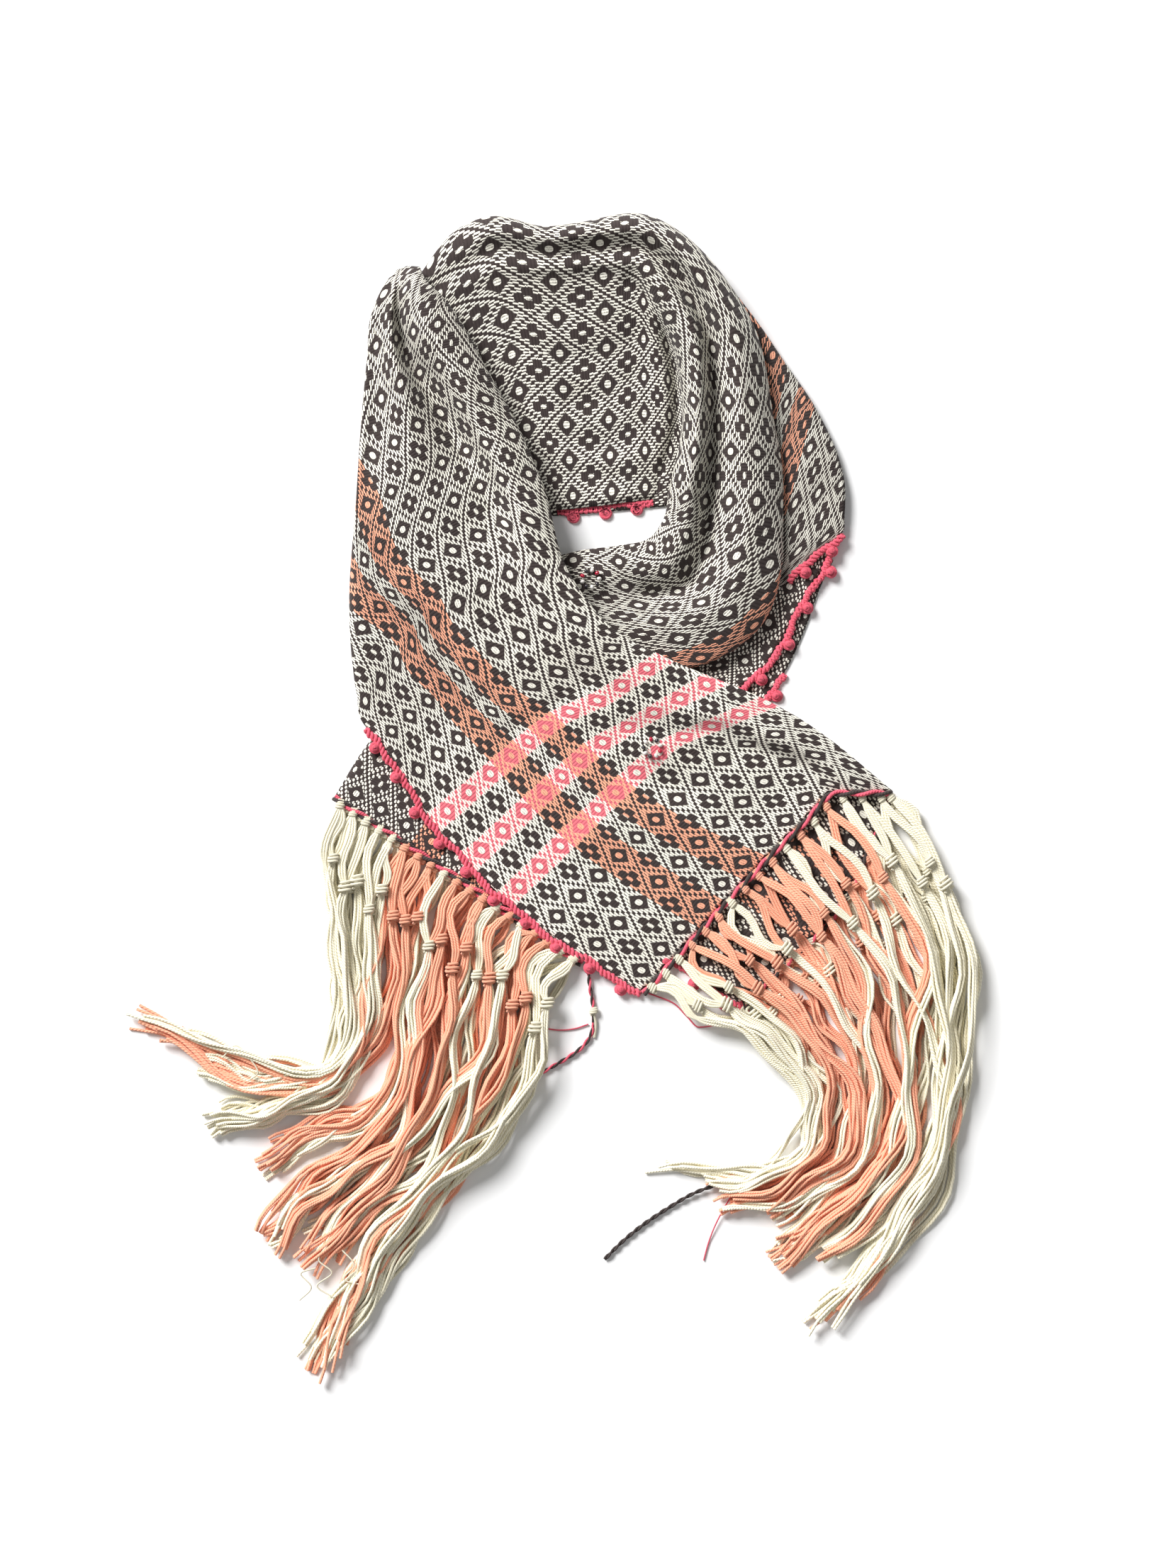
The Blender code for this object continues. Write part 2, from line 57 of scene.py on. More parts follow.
# Front stretch: cotton cloth, handwoven in a diamond twill on a cream and coral warp
# with a dark brown weft. It comes down the left of the neck and over the other tail.
MM = 0.001
MIDDLE = np.array((1.5, 4.5, 0.0))    # middle of the laid-out scarf in the tables' plan
CLOTH = 1.2               # thickness
NET_SPACING = 3.0
ROLL_INSET = 10.0         # how far the cloth turns in under a rolled edge
SELVEDGE_INSET = 6.0
NARROW = 60               # a section narrower than that turns in less
APART = 0.01              # keeps two points of a section from falling together
FrontRow = namedtuple("FrontRow", "outer shoulder crease fold rolled stripes along heights")
FRONT = [FrontRow(*row) for row in (
    ((60, -132), (149, -36), (190, 4), (229, 4), 0.0, (0, 70, 114), 0,
     (2.6, 2.8, 4.2, 4.6, 5.0, 7.2, 5.2, 3.4)),
    ((10, -101), (101, -12), (146, 28), (185, 40), 0.0, (0, 70, 108), 56,
     (7.0, 7.2, 7.6, 8.0, 8.6, 12, 9.0, 5.0)),
    ((-32, -69), (55, 15), (79, 36), (146, 64), 0.0, (0, 69, 103), 109,
     (7.0, 7.5, 9.5, 10.5, 12, 16, 13, 8.5)),
    ((-81, -17), (5, 54), (34, 67), (75, 94), 0.0, (0, 68, 99), 175, (6.5, 7.5, 11, 13, 16, 22, 19, 15)),
    ((-113, 33), (-43, 86), (-10, 105), (36, 117), 0.0, (0, 57, 80), 233,
     (6.8, 7.7, 14, 17, 20, 27, 24, 19)),
    ((-133, 60), (-72, 127), (-29, 151), (9, 154), 0.2, (-4, 57, 79), 275,
     (6.2, 8.0, 18, 22, 24, 31, 26, 20)),
    ((-137, 132), (-98, 170), (-43, 201), (-6, 208), 1.0, (-50, 26, 52), 328,
     (1.4, 8.5, 20, 26, 21, 34, 25, 18)),
    ((-132, 204), (-120, 208), (-65, 240), (-25, 252), 1.0, (-90, -18, 20), 383,
     (1.2, 9.0, 17, 28, 17, 35, 22, 14)),
    ((-129, 252), (-113, 256), (-85, 278), (-43, 285), 1.0, (-130, -48, -7), 427,
     (1.2, 9.0, 17, 28, 16, 35, 21, 13)),
    ((-125, 295), (-115, 300), (-101, 305), (-60, 316), 1.0, (-140, -58, -17), 466,
     (1.2, 9.0, 17, 25, 16, 35, 21, 13)),
    ((-122, 326), (-113, 329), (-105, 331), (-74, 336), 1.0, (-146, -64, -23), 494,
     (1.2, 8.0, 15, 20, 16, 31, 21, 14)),
    ((-112, 348), (-107, 348), (-102, 348), (-86, 348), 1.0, (-150, -70, -29), 513,
     (1.2, 6.0, 10, 13, 14, 23, 19, 14)),
    ((-105, 356), (-102, 357), (-98, 358), (-90, 357), 1.0, (-152, -72, -31), 526,
     (1.2, 3.5, 6.0, 8.0, 9.0, 12, 13, 12)),
)]


def slopes(knots, values):
    """The slope of a smooth curve at each knot, kept low enough not to overshoot."""
    steps = np.diff(knots)[:, None]
    rises = np.diff(values, axis=0) / steps
    before, after = rises[:-1], rises[1:]
    inner = (before * steps[1:] + after * steps[:-1]) / (steps[1:] + steps[:-1])
    most = 3 * np.minimum(abs(before), abs(after)) * (before * after > 0)
    return np.vstack([rises[:1], np.clip(inner, -most, most), rises[-1:]])


def read_curve(knots, values, places):
    """A cubic curve through the values, read at the places."""
    flat = values.reshape(len(values), -1)
    slope = slopes(knots, flat)
    span = np.clip(np.searchsorted(knots, places, side="right") - 1, 0, len(knots) - 2)
    length = (knots[span + 1] - knots[span])[:, None]
    part = ((places - knots[span])[:, None]) / length
    start, end = flat[span], flat[span + 1]
    square, cube = part**2, part**3
    curve = (
        (2 * cube - 3 * square + 1) * start
        + (cube - 2 * square + part) * length * slope[span]
        + (3 * square - 2 * cube) * end
        + (cube - square) * length * slope[span + 1]
    )
    return curve.reshape((len(places),) + values.shape[1:])


def knots_along(rows):
    """Knots for a set of rows, spaced as the mean distance from row to row."""
    gaps = np.linalg.norm(np.diff(rows[..., :3], axis=0), axis=-1)
    while gaps.ndim > 1:
        gaps = gaps.mean(axis=-1)
    return np.concatenate([[0.0], np.cumsum(np.maximum(gaps, 0.5))])


def cloth_net(rows):
    """A fine net of cloth points from a row of points for each section. A point is its
    place and its two places in the weave: across the warp, and along it."""
    columns = np.array(rows, dtype=float).transpose(1, 0, 2)
    knots = knots_along(columns)
    across = max(4, round(knots[-1] / NET_SPACING))
    rows = read_curve(knots, columns, np.linspace(0.0, knots[-1], across + 1)).transpose(1, 0, 2)
    knots = knots_along(rows)
    along = max(4, round(knots[-1] / NET_SPACING))
    return read_curve(knots, rows, np.linspace(0.0, knots[-1], along + 1))


def towards(a, b, distance):
    """The point that lies a distance from a on the way to b, in plan."""
    step = np.subtract(b, a)
    return np.add(a, step * distance / np.linalg.norm(step))


def between(a, b, share):
    """The point at a share of the way from a to b."""
    return np.add(np.multiply(a, 1 - share), np.multiply(b, share))


def weave_section(plan, heights, across, along, side):
    """Points with their places in the weave: across is that of the first point, and it
    falls or rises with the distance over the cloth, as side is below or above 0."""
    points = [np.array((place[0], place[1], height)) for place, height in zip(plan, heights)]
    steps = [0.0] + [np.linalg.norm(b - a) for a, b in zip(points, points[1:])]
    places = across + side * np.cumsum(steps)
    return [(*point, place, along) for point, place in zip(points, places)]


SELVEDGE = 215.0          # the selvedge and the stripes, from the middle of the cloth
OUTER_STRIPE = 143.5
INNER_STRIPE = 101.0
BEYOND = 400.0            # past both edges of any net


def place_stripes(net, table):
    """Puts the two stripes where the cloth shows them. Each row of the table holds the
    distances over the cloth, from the net's first column, of the selvedge and of the
    middles of the outer and the inner stripe. A distance below 0 is hidden cloth."""
    steps = np.linalg.norm(np.diff(net[..., :3], axis=1), axis=2)
    distance = np.concatenate([np.zeros((len(net), 1)), np.cumsum(steps, axis=1)], axis=1)
    along = np.array([row.along for row in table], dtype=float)
    marks = read_curve(along, np.array([row.stripes for row in table], dtype=float), net[:, 0, 4])
    places = np.array((SELVEDGE, OUTER_STRIPE, INNER_STRIPE, INNER_STRIPE - BEYOND))
    for row, mark, far in zip(net, marks, distance):
        turn = 1 if mark[2] > mark[0] else -1
        ends = np.array((*mark, mark[2] + turn * BEYOND))
        row[:, 3] = np.interp(far * turn, ends * turn, places)


def front_section(row):
    """From the outer edge, rolled under or a selvedge, over the shoulder to the fold."""
    inset = SELVEDGE_INSET * (1 - row.rolled)
    narrow = min(1.0, np.linalg.norm(np.subtract(row.fold, row.outer)) / NARROW)
    plan = (
        towards(row.outer, row.crease, ROLL_INSET * row.rolled * narrow + APART),
        towards(row.outer, row.crease, inset + 2 * APART),
        row.shoulder,
        between(row.shoulder, row.crease, 0.5),
        row.crease,
        between(row.crease, row.fold, 0.5),
        row.fold,
        towards(row.fold, row.crease, ROLL_INSET * narrow),
    )
    return weave_section(plan, row.heights, 0.0, row.along, -1)


Crease = namedtuple("Crease", "path width depth")
FRONT_CREASES = [Crease(*row) for row in (
    # the deep one beside the left roll, from the top of the neck to the crossing
    (((-103, 350), (-104, 326), (-100, 303), (-90, 282), (-74, 256), (-60, 232), (-45, 206),
     (-31, 184)), 5.0, 9.0),
    # soft ones that run down the left side over the coral stripes
    (((-127, 261), (-115, 242), (-96, 218), (-77, 194), (-58, 170), (-38, 118), (-19, 94)), 9.0, 2.2),
    (((-115, 93), (-106, 64), (-86, 21), (-77, -17), (-38, -60)), 10.0, 1.8),
    (((-138, 120), (-110, 118), (-80, 104), (-50, 72), (-20, 40)), 8.0, 1.6),
    (((-135, 176), (-112, 160), (-84, 140), (-60, 112)), 7.0, 1.8),
    # ripples over the crossing, towards the lower right
    (((38, 50), (72, 43), (106, 45), (154, 26), (192, 16)), 6.0, 2.4),
    (((10, 20), (48, 14), (90, 4), (130, -20)), 9.0, 1.3),
    (((-40, 40), (0, 60), (30, 84)), 8.0, 1.8),
    # ridges between them
    (((50, 62), (90, 58), (130, 50), (172, 30)), 5.0, -1.6),
    (((-122, 150), (-98, 140), (-70, 118), (-46, 88), (-28, 52)), 9.0, -1.6),
    (((-20, -50), (20, -30), (60, -10)), 10.0, -1.2),
    (((-112, 290), (-110, 262), (-98, 236), (-80, 212)), 5.0, -1.5),
)]


def press_crease(net, crease):
    """Presses a soft trough into the cloth along a path in plan, or with a negative
    depth raises a ridge. It is uneven, and fades out at both ends."""
    path = np.array(crease.path, dtype=float)
    knots = knots_along(path)
    count = round(knots[-1] / 2) + 2
    share = np.linspace(0.0, 1.0, count)
    line = read_curve(knots, path, share * knots[-1])
    strength = np.sin(pi * share) ** 0.6 * (1 + 0.25 * np.sin(share * 17 + path[0, 0]))
    flat = net[..., :2].reshape(-1, 2)
    distance = np.linalg.norm(flat[:, None] - line[None], axis=2)
    nearest = distance.argmin(axis=1)
    near = distance[np.arange(len(flat)), nearest]
    drop = crease.depth * strength[nearest] * np.exp(-((near / crease.width) ** 2))
    net[..., 2] -= drop.reshape(net.shape[:2])
    net[..., 2] = np.maximum(net[..., 2], CLOTH / 2)


WAVE_DEPTH = 0.35
ON_SURFACE = 2.0          # cloth below that height lies flat


def soften(net):
    """The slight unevenness of handwoven cloth: low waves of a few centimetres."""
    across, along = net[..., 3], net[..., 4]
    waves = np.sin(along / 9.0 + 2 * np.sin(across / 31.0)) + np.sin(along / 23.0 - across / 14.0)
    waves += np.sin(across / 7.5 + 1.5 * np.sin(along / 40.0))
    lifted = net[..., 2] > ON_SURFACE
    net[..., 2] += WAVE_DEPTH * waves * lifted


def calculate(tree, operation, *values):
    """A Math node: each value is a number, or the output of another node."""
    node = tree.nodes.new("ShaderNodeMath")
    node.operation = operation
    for socket, value in zip(node.inputs, values):
        if isinstance(value, bpy.types.NodeSocket):
            tree.links.new(value, socket)
        else:
            socket.default_value = value
    return node.outputs[0]


def add_sockets(group, place_name, values, results):
    """A group's sockets: a place, numbers with their usual values, and its results."""
    group.interface.new_socket(name=place_name, in_out="INPUT", socket_type="NodeSocketVector")
    for name, value in values.items():
        socket = group.interface.new_socket(name=name, in_out="INPUT", socket_type="NodeSocketFloat")
        socket.default_value = value
    for name in results:
        group.interface.new_socket(name=name, in_out="OUTPUT", socket_type="NodeSocketFloat")
    return group.nodes.new("NodeGroupInput").outputs, group.nodes.new("NodeGroupOutput").inputs


def noise(tree, place, scale, detail):
    """The value of a noise texture at a place."""
    node = tree.nodes.new("ShaderNodeTexNoise")
    node.inputs["Scale"].default_value = scale
    node.inputs["Detail"].default_value = detail
    tree.links.new(place, node.inputs["Vector"])
    return node.outputs[0]


def diamond_twill_group():
    """The weave draft: where the warp shows, how high each thread lies, and which ends
    and picks are dyed. Threads are counted from the middle of the cloth and from its
    hem, a diamond is 12 ends wide and 16 picks long, and eyes and flowers alternate."""
    group = bpy.data.node_groups.new("Diamond twill", "ShaderNodeTree")
    given, result = add_sockets(
        group,
        "Weave place",
        {"End spacing": 0.001683, "Pick spacing": 0.00206, "First eye": 0.010, "Inner stripe": 0.101,
         "Outer stripe": 0.1435, "Middle band": 0.142, "Float length": 1.8, "Float share": 1.05,
         "Float width": 0.84, "Slant": 0.17},
        ("Warp shows", "Dyed warp", "Dyed weft", "Height", "Shade"),
    )
    half_ends, half_picks = 6.0, 8.0              # from the middle of an eye to that of a flower
    half_stripes = (("Inner stripe", 0.0102), ("Outer stripe", 0.0128))
    half_band, band_step = 0.0080, 0.033
    eye_size, dark_ring = (1.25, 1.2), (4.5, 4.2)     # half sizes in ends and picks
    flower_middle, long_petal, side_petal = (0.75, 0.9), (1.5, 1.5), (1.5, 1.65)
    long_petal_away, side_petal_away = 2.65, 2.15     # from the middle of the flower

    def work(operation, *values):
        return calculate(group, operation, *values)

    def power_of(value, size, exponent):
        return work("POWER", work("DIVIDE", work("ABSOLUTE", value), size), exponent)

    def edge(inside, sharpness):
        """0 below the edge and 1 above it, with a soft step between."""
        node = group.nodes.new("ShaderNodeClamp")
        group.links.new(work("MULTIPLY", inside, sharpness), node.inputs["Value"])
        return node.outputs[0]

    def blob(end_distance, pick_distance, size, exponent):
        """Less than 1 in a rounded form of that half size."""
        first = power_of(end_distance, size[0], exponent)
        return work("ADD", first, power_of(pick_distance, size[1], exponent))

    split = group.nodes.new("ShaderNodeSeparateXYZ")
    group.links.new(given["Weave place"], split.inputs[0])
    wobble = noise(group, given["Weave place"], 55.0, 1.0)
    drift = work("MULTIPLY", work("SUBTRACT", wobble, 0.5), 0.7)
    across = work("ABSOLUTE", split.outputs[0])
    ends = work("ADD", work("DIVIDE", across, given["End spacing"]), drift)
    from_eye = work("SUBTRACT", split.outputs[1], given["First eye"])
    picks = work("ADD", work("DIVIDE", from_eye, given["Pick spacing"]), drift)
    end_place = work("PINGPONG", ends, half_ends)
    pick_place = work("PINGPONG", picks, half_picks)
    end = work("ROUND", ends)
    pick = work("ROUND", picks)
    beside_pick = work("DIVIDE", work("ABSOLUTE", work("SUBTRACT", picks, pick)), 0.5)

    # ring counts from 0 at the middle of an eye over 8 at the lattice to 16 at a flower
    own_end = work("MULTIPLY", work("PINGPONG", end, half_ends), half_picks / half_ends)
    ring = work("ADD", own_end, pick_place)

    # rows of slanting warp floats on both sides of the dark lattice
    past_lattice = work("SUBTRACT", ring, half_picks)
    from_lattice = work("SUBTRACT", work("ABSOLUTE", past_lattice), 0.5)
    own_row = work("MODULO", work("MAXIMUM", from_lattice, 0.0), given["Float length"])
    half_float = work("MULTIPLY", given["Float length"], 0.5)
    along_float = work("DIVIDE", work("SUBTRACT", own_row, half_float), half_float)
    way = work("SIGN", work("SINE", work("MULTIPLY", picks, pi / half_picks)))
    way = work("MULTIPLY", way, work("SIGN", past_lattice))
    slant = work("MULTIPLY", work("MULTIPLY", along_float, way), given["Slant"])
    from_end_middle = work("ADD", work("SUBTRACT", ends, end), slant)
    beside_end = work("DIVIDE", work("ABSOLUTE", from_end_middle), 0.5)
    lengthwise = power_of(along_float, given["Float share"], 6.0)
    crosswise = power_of(beside_end, given["Float width"], 3.0)
    floats = edge(work("SUBTRACT", 1.15, work("ADD", lengthwise, crosswise)), 4.0)
    floats = work("MULTIPLY", floats, edge(from_lattice, 5.0))

    # the eye: a light middle in a dark ring
    eye = edge(work("SUBTRACT", 1.1, blob(end_place, pick_place, eye_size, 2.5)), 4.0)
    dark = edge(work("SUBTRACT", 1.0, blob(end_place, pick_place, dark_ring, 1.0)), 8.0)

    # the flower: four dark petals round a light middle
    from_end = work("SUBTRACT", half_ends, end_place)
    from_pick = work("SUBTRACT", half_picks, pick_place)
    long_petals = blob(from_end, work("SUBTRACT", from_pick, long_petal_away), long_petal, 4.0)
    side_petals = blob(work("SUBTRACT", from_end, side_petal_away), from_pick, side_petal, 4.0)
    petals = edge(work("SUBTRACT", 1.1, work("MINIMUM", long_petals, side_petals)), 3.0)
    dark = work("MAXIMUM", dark, petals)
    light = edge(work("SUBTRACT", 1.1, blob(from_end, from_pick, flower_middle, 2.5)), 4.0)
    light = work("MAXIMUM", eye, light)
    shows = work("MAXIMUM", light, work("MULTIPLY", floats, work("SUBTRACT", 1.0, dark)))
    group.links.new(shows, result["Warp shows"])

    # two dyed stripes on each side of the middle, and three dyed bands near each hem
    stripe_place = work("MULTIPLY", end, given["End spacing"])
    stripes = [work("COMPARE", stripe_place, given[name], half) for name, half in half_stripes]
    group.links.new(work("MAXIMUM", *stripes), result["Dyed warp"])
    band_place = work("ADD", work("MULTIPLY", pick, given["Pick spacing"]), given["First eye"])
    off_middle = work("ABSOLUTE", work("SUBTRACT", band_place, given["Middle band"]))
    bands = [work("COMPARE", off_middle, place, half_band) for place in (0.0, band_step)]
    group.links.new(work("MAXIMUM", *bands), result["Dyed weft"])

    # each thread is round, and a warp thread lies higher than a weft thread; the Shade result is painted
    # shade, darker at the sides of each thread and over the lower weft
    warp_round = work("SUBTRACT", 1.0, work("MULTIPLY", work("POWER", beside_end, 2.0), 0.75))
    weft_round = work("SUBTRACT", 0.72, work("MULTIPLY", work("POWER", beside_pick, 2.0), 0.55))
    height = group.nodes.new("ShaderNodeMix")
    group.links.new(shows, height.inputs["Factor"])
    group.links.new(weft_round, height.inputs["A"])
    group.links.new(warp_round, height.inputs["B"])
    group.links.new(height.outputs["Result"], result["Height"])
    group.links.new(work("MULTIPLY_ADD", height.outputs["Result"], 0.35, 0.68), result["Shade"])


def dye(red, green, blue):
    """A colour as the eye sees it, 0 to 255, becomes the light that it sends back."""
    shares = [channel / 255 for channel in (red, green, blue)]
    return (*(share / 12.92 if share <= 0.04045 else ((share + 0.055) / 1.055) ** 2.4
              for share in shares), 1.0)


def mix_colours(tree, factor, first, second, blend="MIX"):
    """A colour Mix node: factor, first and second are sockets, colours or numbers."""
    node = tree.nodes.new("ShaderNodeMix")
    node.data_type = "RGBA"
    node.blend_type = blend
    for socket, value in ((node.inputs[0], factor), (node.inputs[6], first), (node.inputs[7], second)):
        if isinstance(value, bpy.types.NodeSocket):
            tree.links.new(value, socket)
        else:
            socket.default_value = value
    return node.outputs[2]


def start_cotton(name, thread_map, sheen, relief, relief_depth):
    """A cotton material, with its node tree, its shader's inputs, the places in the
    thread map, and the height input of its bump."""
    material = bpy.data.materials.new(name)
    material.use_nodes = True
    tree = material.node_tree
    shader = tree.nodes["Principled BSDF"].inputs
    shader["Sheen Weight"].default_value = sheen
    shader["Specular IOR Level"].default_value = 0.25
    place = tree.nodes.new("ShaderNodeUVMap")
    place.uv_map = thread_map
    bump = tree.nodes.new("ShaderNodeBump")
    bump.inputs["Strength"].default_value = relief
    bump.inputs["Distance"].default_value = relief_depth
    tree.links.new(bump.outputs[0], shader["Normal"])
    return material, tree, shader, place.outputs[0], bump.inputs["Height"]


CREAM = dye(252, 248, 234)
CORAL = dye(255, 180, 148)
BROWN = dye(66, 56, 54)
PINK = dye(240, 118, 130)
WEAVE_MAP = "Weave"
# narrower floats higher up darken the cloth, partly as painted shade of the neck and its folds
FLOAT_WIDTHS = (0.18, 0.42, 0.80, 0.60)    # two places along the warp, and the widths there


def woven_cotton(name, float_share):
    """Cream and coral warp, brown and pink weft, in the diamond twill. The warp shows less,
    and the cloth is darker, towards the neck: partly the warp lying closer there, and partly
    painted shade of the neck hollow and the folds at the top."""
    material, tree, shader, place, relief = start_cotton(name, WEAVE_MAP, 0.12, 0.7, 0.0006)
    weave = tree.nodes.new("ShaderNodeGroup")
    weave.node_tree = bpy.data.node_groups["Diamond twill"]
    weave.inputs["Float share"].default_value = float_share
    split = tree.nodes.new("ShaderNodeSeparateXYZ")
    tree.links.new(place, split.inputs[0])
    # float width by place along the warp: narrower, so darker, towards the neck, partly as painted shade
    width = tree.nodes.new("ShaderNodeMapRange")
    for socket, value in zip(width.inputs[1:5], FLOAT_WIDTHS):
        socket.default_value = value
    tree.links.new(split.outputs[1], width.inputs["Value"])
    tree.links.new(width.outputs[0], weave.inputs["Float width"])
    tree.links.new(place, weave.inputs["Weave place"])
    warp = mix_colours(tree, weave.outputs["Dyed warp"], CREAM, CORAL)
    weft = mix_colours(tree, weave.outputs["Dyed weft"], BROWN, PINK)
    cloth = mix_colours(tree, weave.outputs["Warp shows"], weft, warp)
    # painted shade between the threads, multiplied into the cloth's colour
    cloth = mix_colours(tree, 1.0, cloth, weave.outputs["Shade"], "MULTIPLY")
    fibre = noise(tree, place, 900.0, 3.0)
    cloth = mix_colours(tree, 1.0, cloth, calculate(tree, "MULTIPLY_ADD", fibre, 0.36, 0.82), "MULTIPLY")
    tree.links.new(cloth, shader["Base Color"])
    tree.links.new(calculate(tree, "MULTIPLY_ADD", fibre, 0.2, 0.75), shader["Roughness"])
    tree.links.new(calculate(tree, "MULTIPLY_ADD", fibre, 0.25, weave.outputs["Height"]), relief)
    return material


def show_object(name, mesh, material):
    """Puts a mesh in the scene with its material, on the part's only body."""
    mesh.materials.append(material)
    made = bpy.data.objects.new(name, mesh)
    bpy.context.scene.collection.objects.link(made)
    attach(made, "root")
    return made


def lay_cloth(name, net, replaced, material):
    """A net of points becomes a thin cloth whose weave map holds the threads' places."""
    along, across = net.shape[:2]
    bm = bmesh.new()
    bmesh.ops.create_grid(bm, x_segments=across - 1, y_segments=along - 1, size=1.0)
    points = net.reshape(-1, 5)
    places = (points[:, :3] - MIDDLE) * MM
    for vert, place in zip(bm.verts, places):
        vert.co = place
    weave = bm.loops.layers.uv.new(WEAVE_MAP)
    bm.verts.index_update()
    for face in bm.faces:
        face.smooth = True
        for loop in face.loops:
            loop[weave].uv = points[loop.vert.index, 3:] * MM
    bmesh.ops.recalc_face_normals(bm, faces=bm.faces)
    mesh = bpy.data.meshes.new(name)
    bm.to_mesh(mesh)
    bm.free()
    made = show_object(name, mesh, material)
    wall = made.modifiers.new("Cloth thickness", "SOLIDIFY")
    wall.thickness = CLOTH * MM
    wall.offset = 0.0
    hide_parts(*replaced)
    return made


diamond_twill_group()
WOVEN = woven_cotton("Woven cotton", 1.05)
front_net = cloth_net([front_section(row) for row in FRONT])
place_stripes(front_net, FRONT)
for crease in FRONT_CREASES:
    press_crease(front_net, crease)
soften(front_net)
woven_front = lay_cloth("woven_front", front_net, ["front_stretch"], WOVEN)

# Neck ring: the same cloth round the back of the neck, where its inner face shows, and
# on round the right in two long rolls that pass under the front stretch.
RING_START = 528       # place along the weave where the ring begins
RingRow = namedtuple("RingRow", "foot rim crease outer tuck across edge along heights")
RING = [RingRow(*row) for row in (
    ((-38, 187), (-86, 328), (-89, 338), (-92, 350), 6, -88, 84, 0,
     (2.8, 4.0, 5.0, 6.0, 5.5, 6.0, 4.0, 1.4)),
    ((-19, 190), (-55, 338), (-60, 355), (-65, 382), 10, -88, 84, 26, (2.8, 5.0, 12, 14, 13, 17, 10, 1.4)),
    ((-2, 193), (-31, 348), (-35, 367), (-38, 391), 12, -88, 84, 48, (2.8, 6.0, 18, 21, 19, 28, 13, 1.4)),
    ((14, 195), (0, 348), (-2, 364), (-5, 384), 12, -88, 84, 75, (2.8, 7.0, 20, 24, 22, 31, 14, 1.4)),
    ((34, 197), (26, 350), (24, 367), (20, 387), 12, -88, 84, 100, (2.8, 7.0, 20, 24, 22, 31, 14, 1.4)),
    ((55, 200), (54, 351), (55, 369), (54, 393), 12, -88, 84, 130, (2.8, 7.0, 20, 26, 22, 32, 14, 1.4)),
    ((74, 202), (70, 328), (83, 351), (89, 378), 12, -88, 84, 160, (2.8, 8.0, 19, 30, 20, 33, 14, 1.4)),
    ((90, 206), (84, 300), (106, 309), (133, 322), 12, -88, 84, 200, (2.8, 8.0, 17, 32, 18, 33, 14, 8.0)),
    ((101, 208), (88, 256), (108, 256), (149, 252), 12, -75, 84, 250, (2.0, 8.0, 15, 33, 17, 33, 13, 8.2)),
    ((98, 204), (79, 208), (106, 208), (155, 208), 12, -45, 84, 297, (2.6, 7.0, 14, 32, 16, 31, 13, 8.2)),
    ((89, 175), (75, 187), (102, 168), (154, 156), 12, -20, 92, 338, (5.2, 7.5, 12, 26, 14, 27, 13, 8.4)),
    ((70, 160), (65, 174), (86, 141), (142, 118), 12, -25, 108, 368, (5.2, 7.0, 10, 20, 11, 23, 12, 8.0)),
    ((43, 156), (43, 169), (53, 137), (106, 91), 12, -30, 112, 403, (5.2, 6.5, 9.0, 15, 9.0, 17, 10, 7.0)),
    ((19, 153), (19, 166), (26, 135), (70, 86), 12, -22, 104, 431, (5.2, 6.2, 8.0, 12, 8.0, 12, 9.0, 6.4)),
    ((-5, 148), (-5, 160), (0, 136), (38, 93), 12, -20, 85, 456, (5.2, 6.0, 7.0, 9.5, 7.0, 9.5, 8.0, 6.0)),
)]
RING_CREASES = [Crease(*row) for row in (
    # wrinkles that hang round the back of the neck
    (((-40, 300), (-20, 278), (10, 266), (40, 272), (62, 290)), 7.0, 2.6),
    (((-30, 262), (0, 244), (34, 238), (66, 250)), 7.0, 1.8),
    (((-46, 322), (-24, 304), (6, 296), (40, 300), (60, 314)), 6.0, 2.2),
    (((-14, 230), (16, 218), (50, 216), (82, 224)), 6.0, 1.6),
    (((-34, 286), (-6, 270), (24, 262)), 5.0, -1.6),
    (((-20, 246), (10, 230), (44, 226), (74, 236)), 5.0, -1.5),
    # dents along the two rolls at the right
    (((60, 372), (80, 352), (105, 310), (108, 256), (106, 208), (102, 168), (86, 141), (53, 137)), 4.5, 8.0),
    (((46, 350), (66, 334), (80, 300), (84, 256), (75, 208), (71, 187), (60, 174)), 5.0, 9.5),
    (((88, 330), (96, 296), (98, 250), (92, 210), (84, 186)), 4.0, -1.4),
    (((122, 316), (130, 280), (131, 240), (126, 200), (112, 150)), 6.0, 1.8),
    (((62, 164), (92, 146), (120, 126)), 5.0, 2.0),
    (((30, 158), (62, 140), (92, 112)), 6.0, 2.0),
    (((-60, 372), (-30, 376), (10, 372), (60, 378)), 5.0, 1.8),
)]


def ring_section(row):
    """From the foot inside the neck, up over the rim and the crease, to the outer edge."""
    plan = [np.array(point, dtype=float) for point in (
        row.foot,
        between(row.foot, row.rim, 0.5),
        row.rim,
        between(row.rim, row.crease, 0.5),
        row.crease,
        between(row.crease, row.outer, 0.5),
        row.outer,
        towards(row.outer, row.crease, row.tuck),
    )]
    steps = [np.linalg.norm(b - a) for a, b in zip(plan[:-2], plan[1:-1])]
    rises = np.diff(row.heights[:-1])
    spread = (row.edge - row.across) / np.hypot(steps, rises).sum()
    return weave_section(plan, row.heights, row.across, row.along + RING_START, spread)


ring_net = cloth_net([ring_section(row) for row in RING])
for crease in RING_CREASES:
    press_crease(ring_net, crease)
soften(ring_net)
neck_ring = lay_cloth("woven_neck_ring", ring_net, ["neck_back", "right_rolls"], WOVEN)

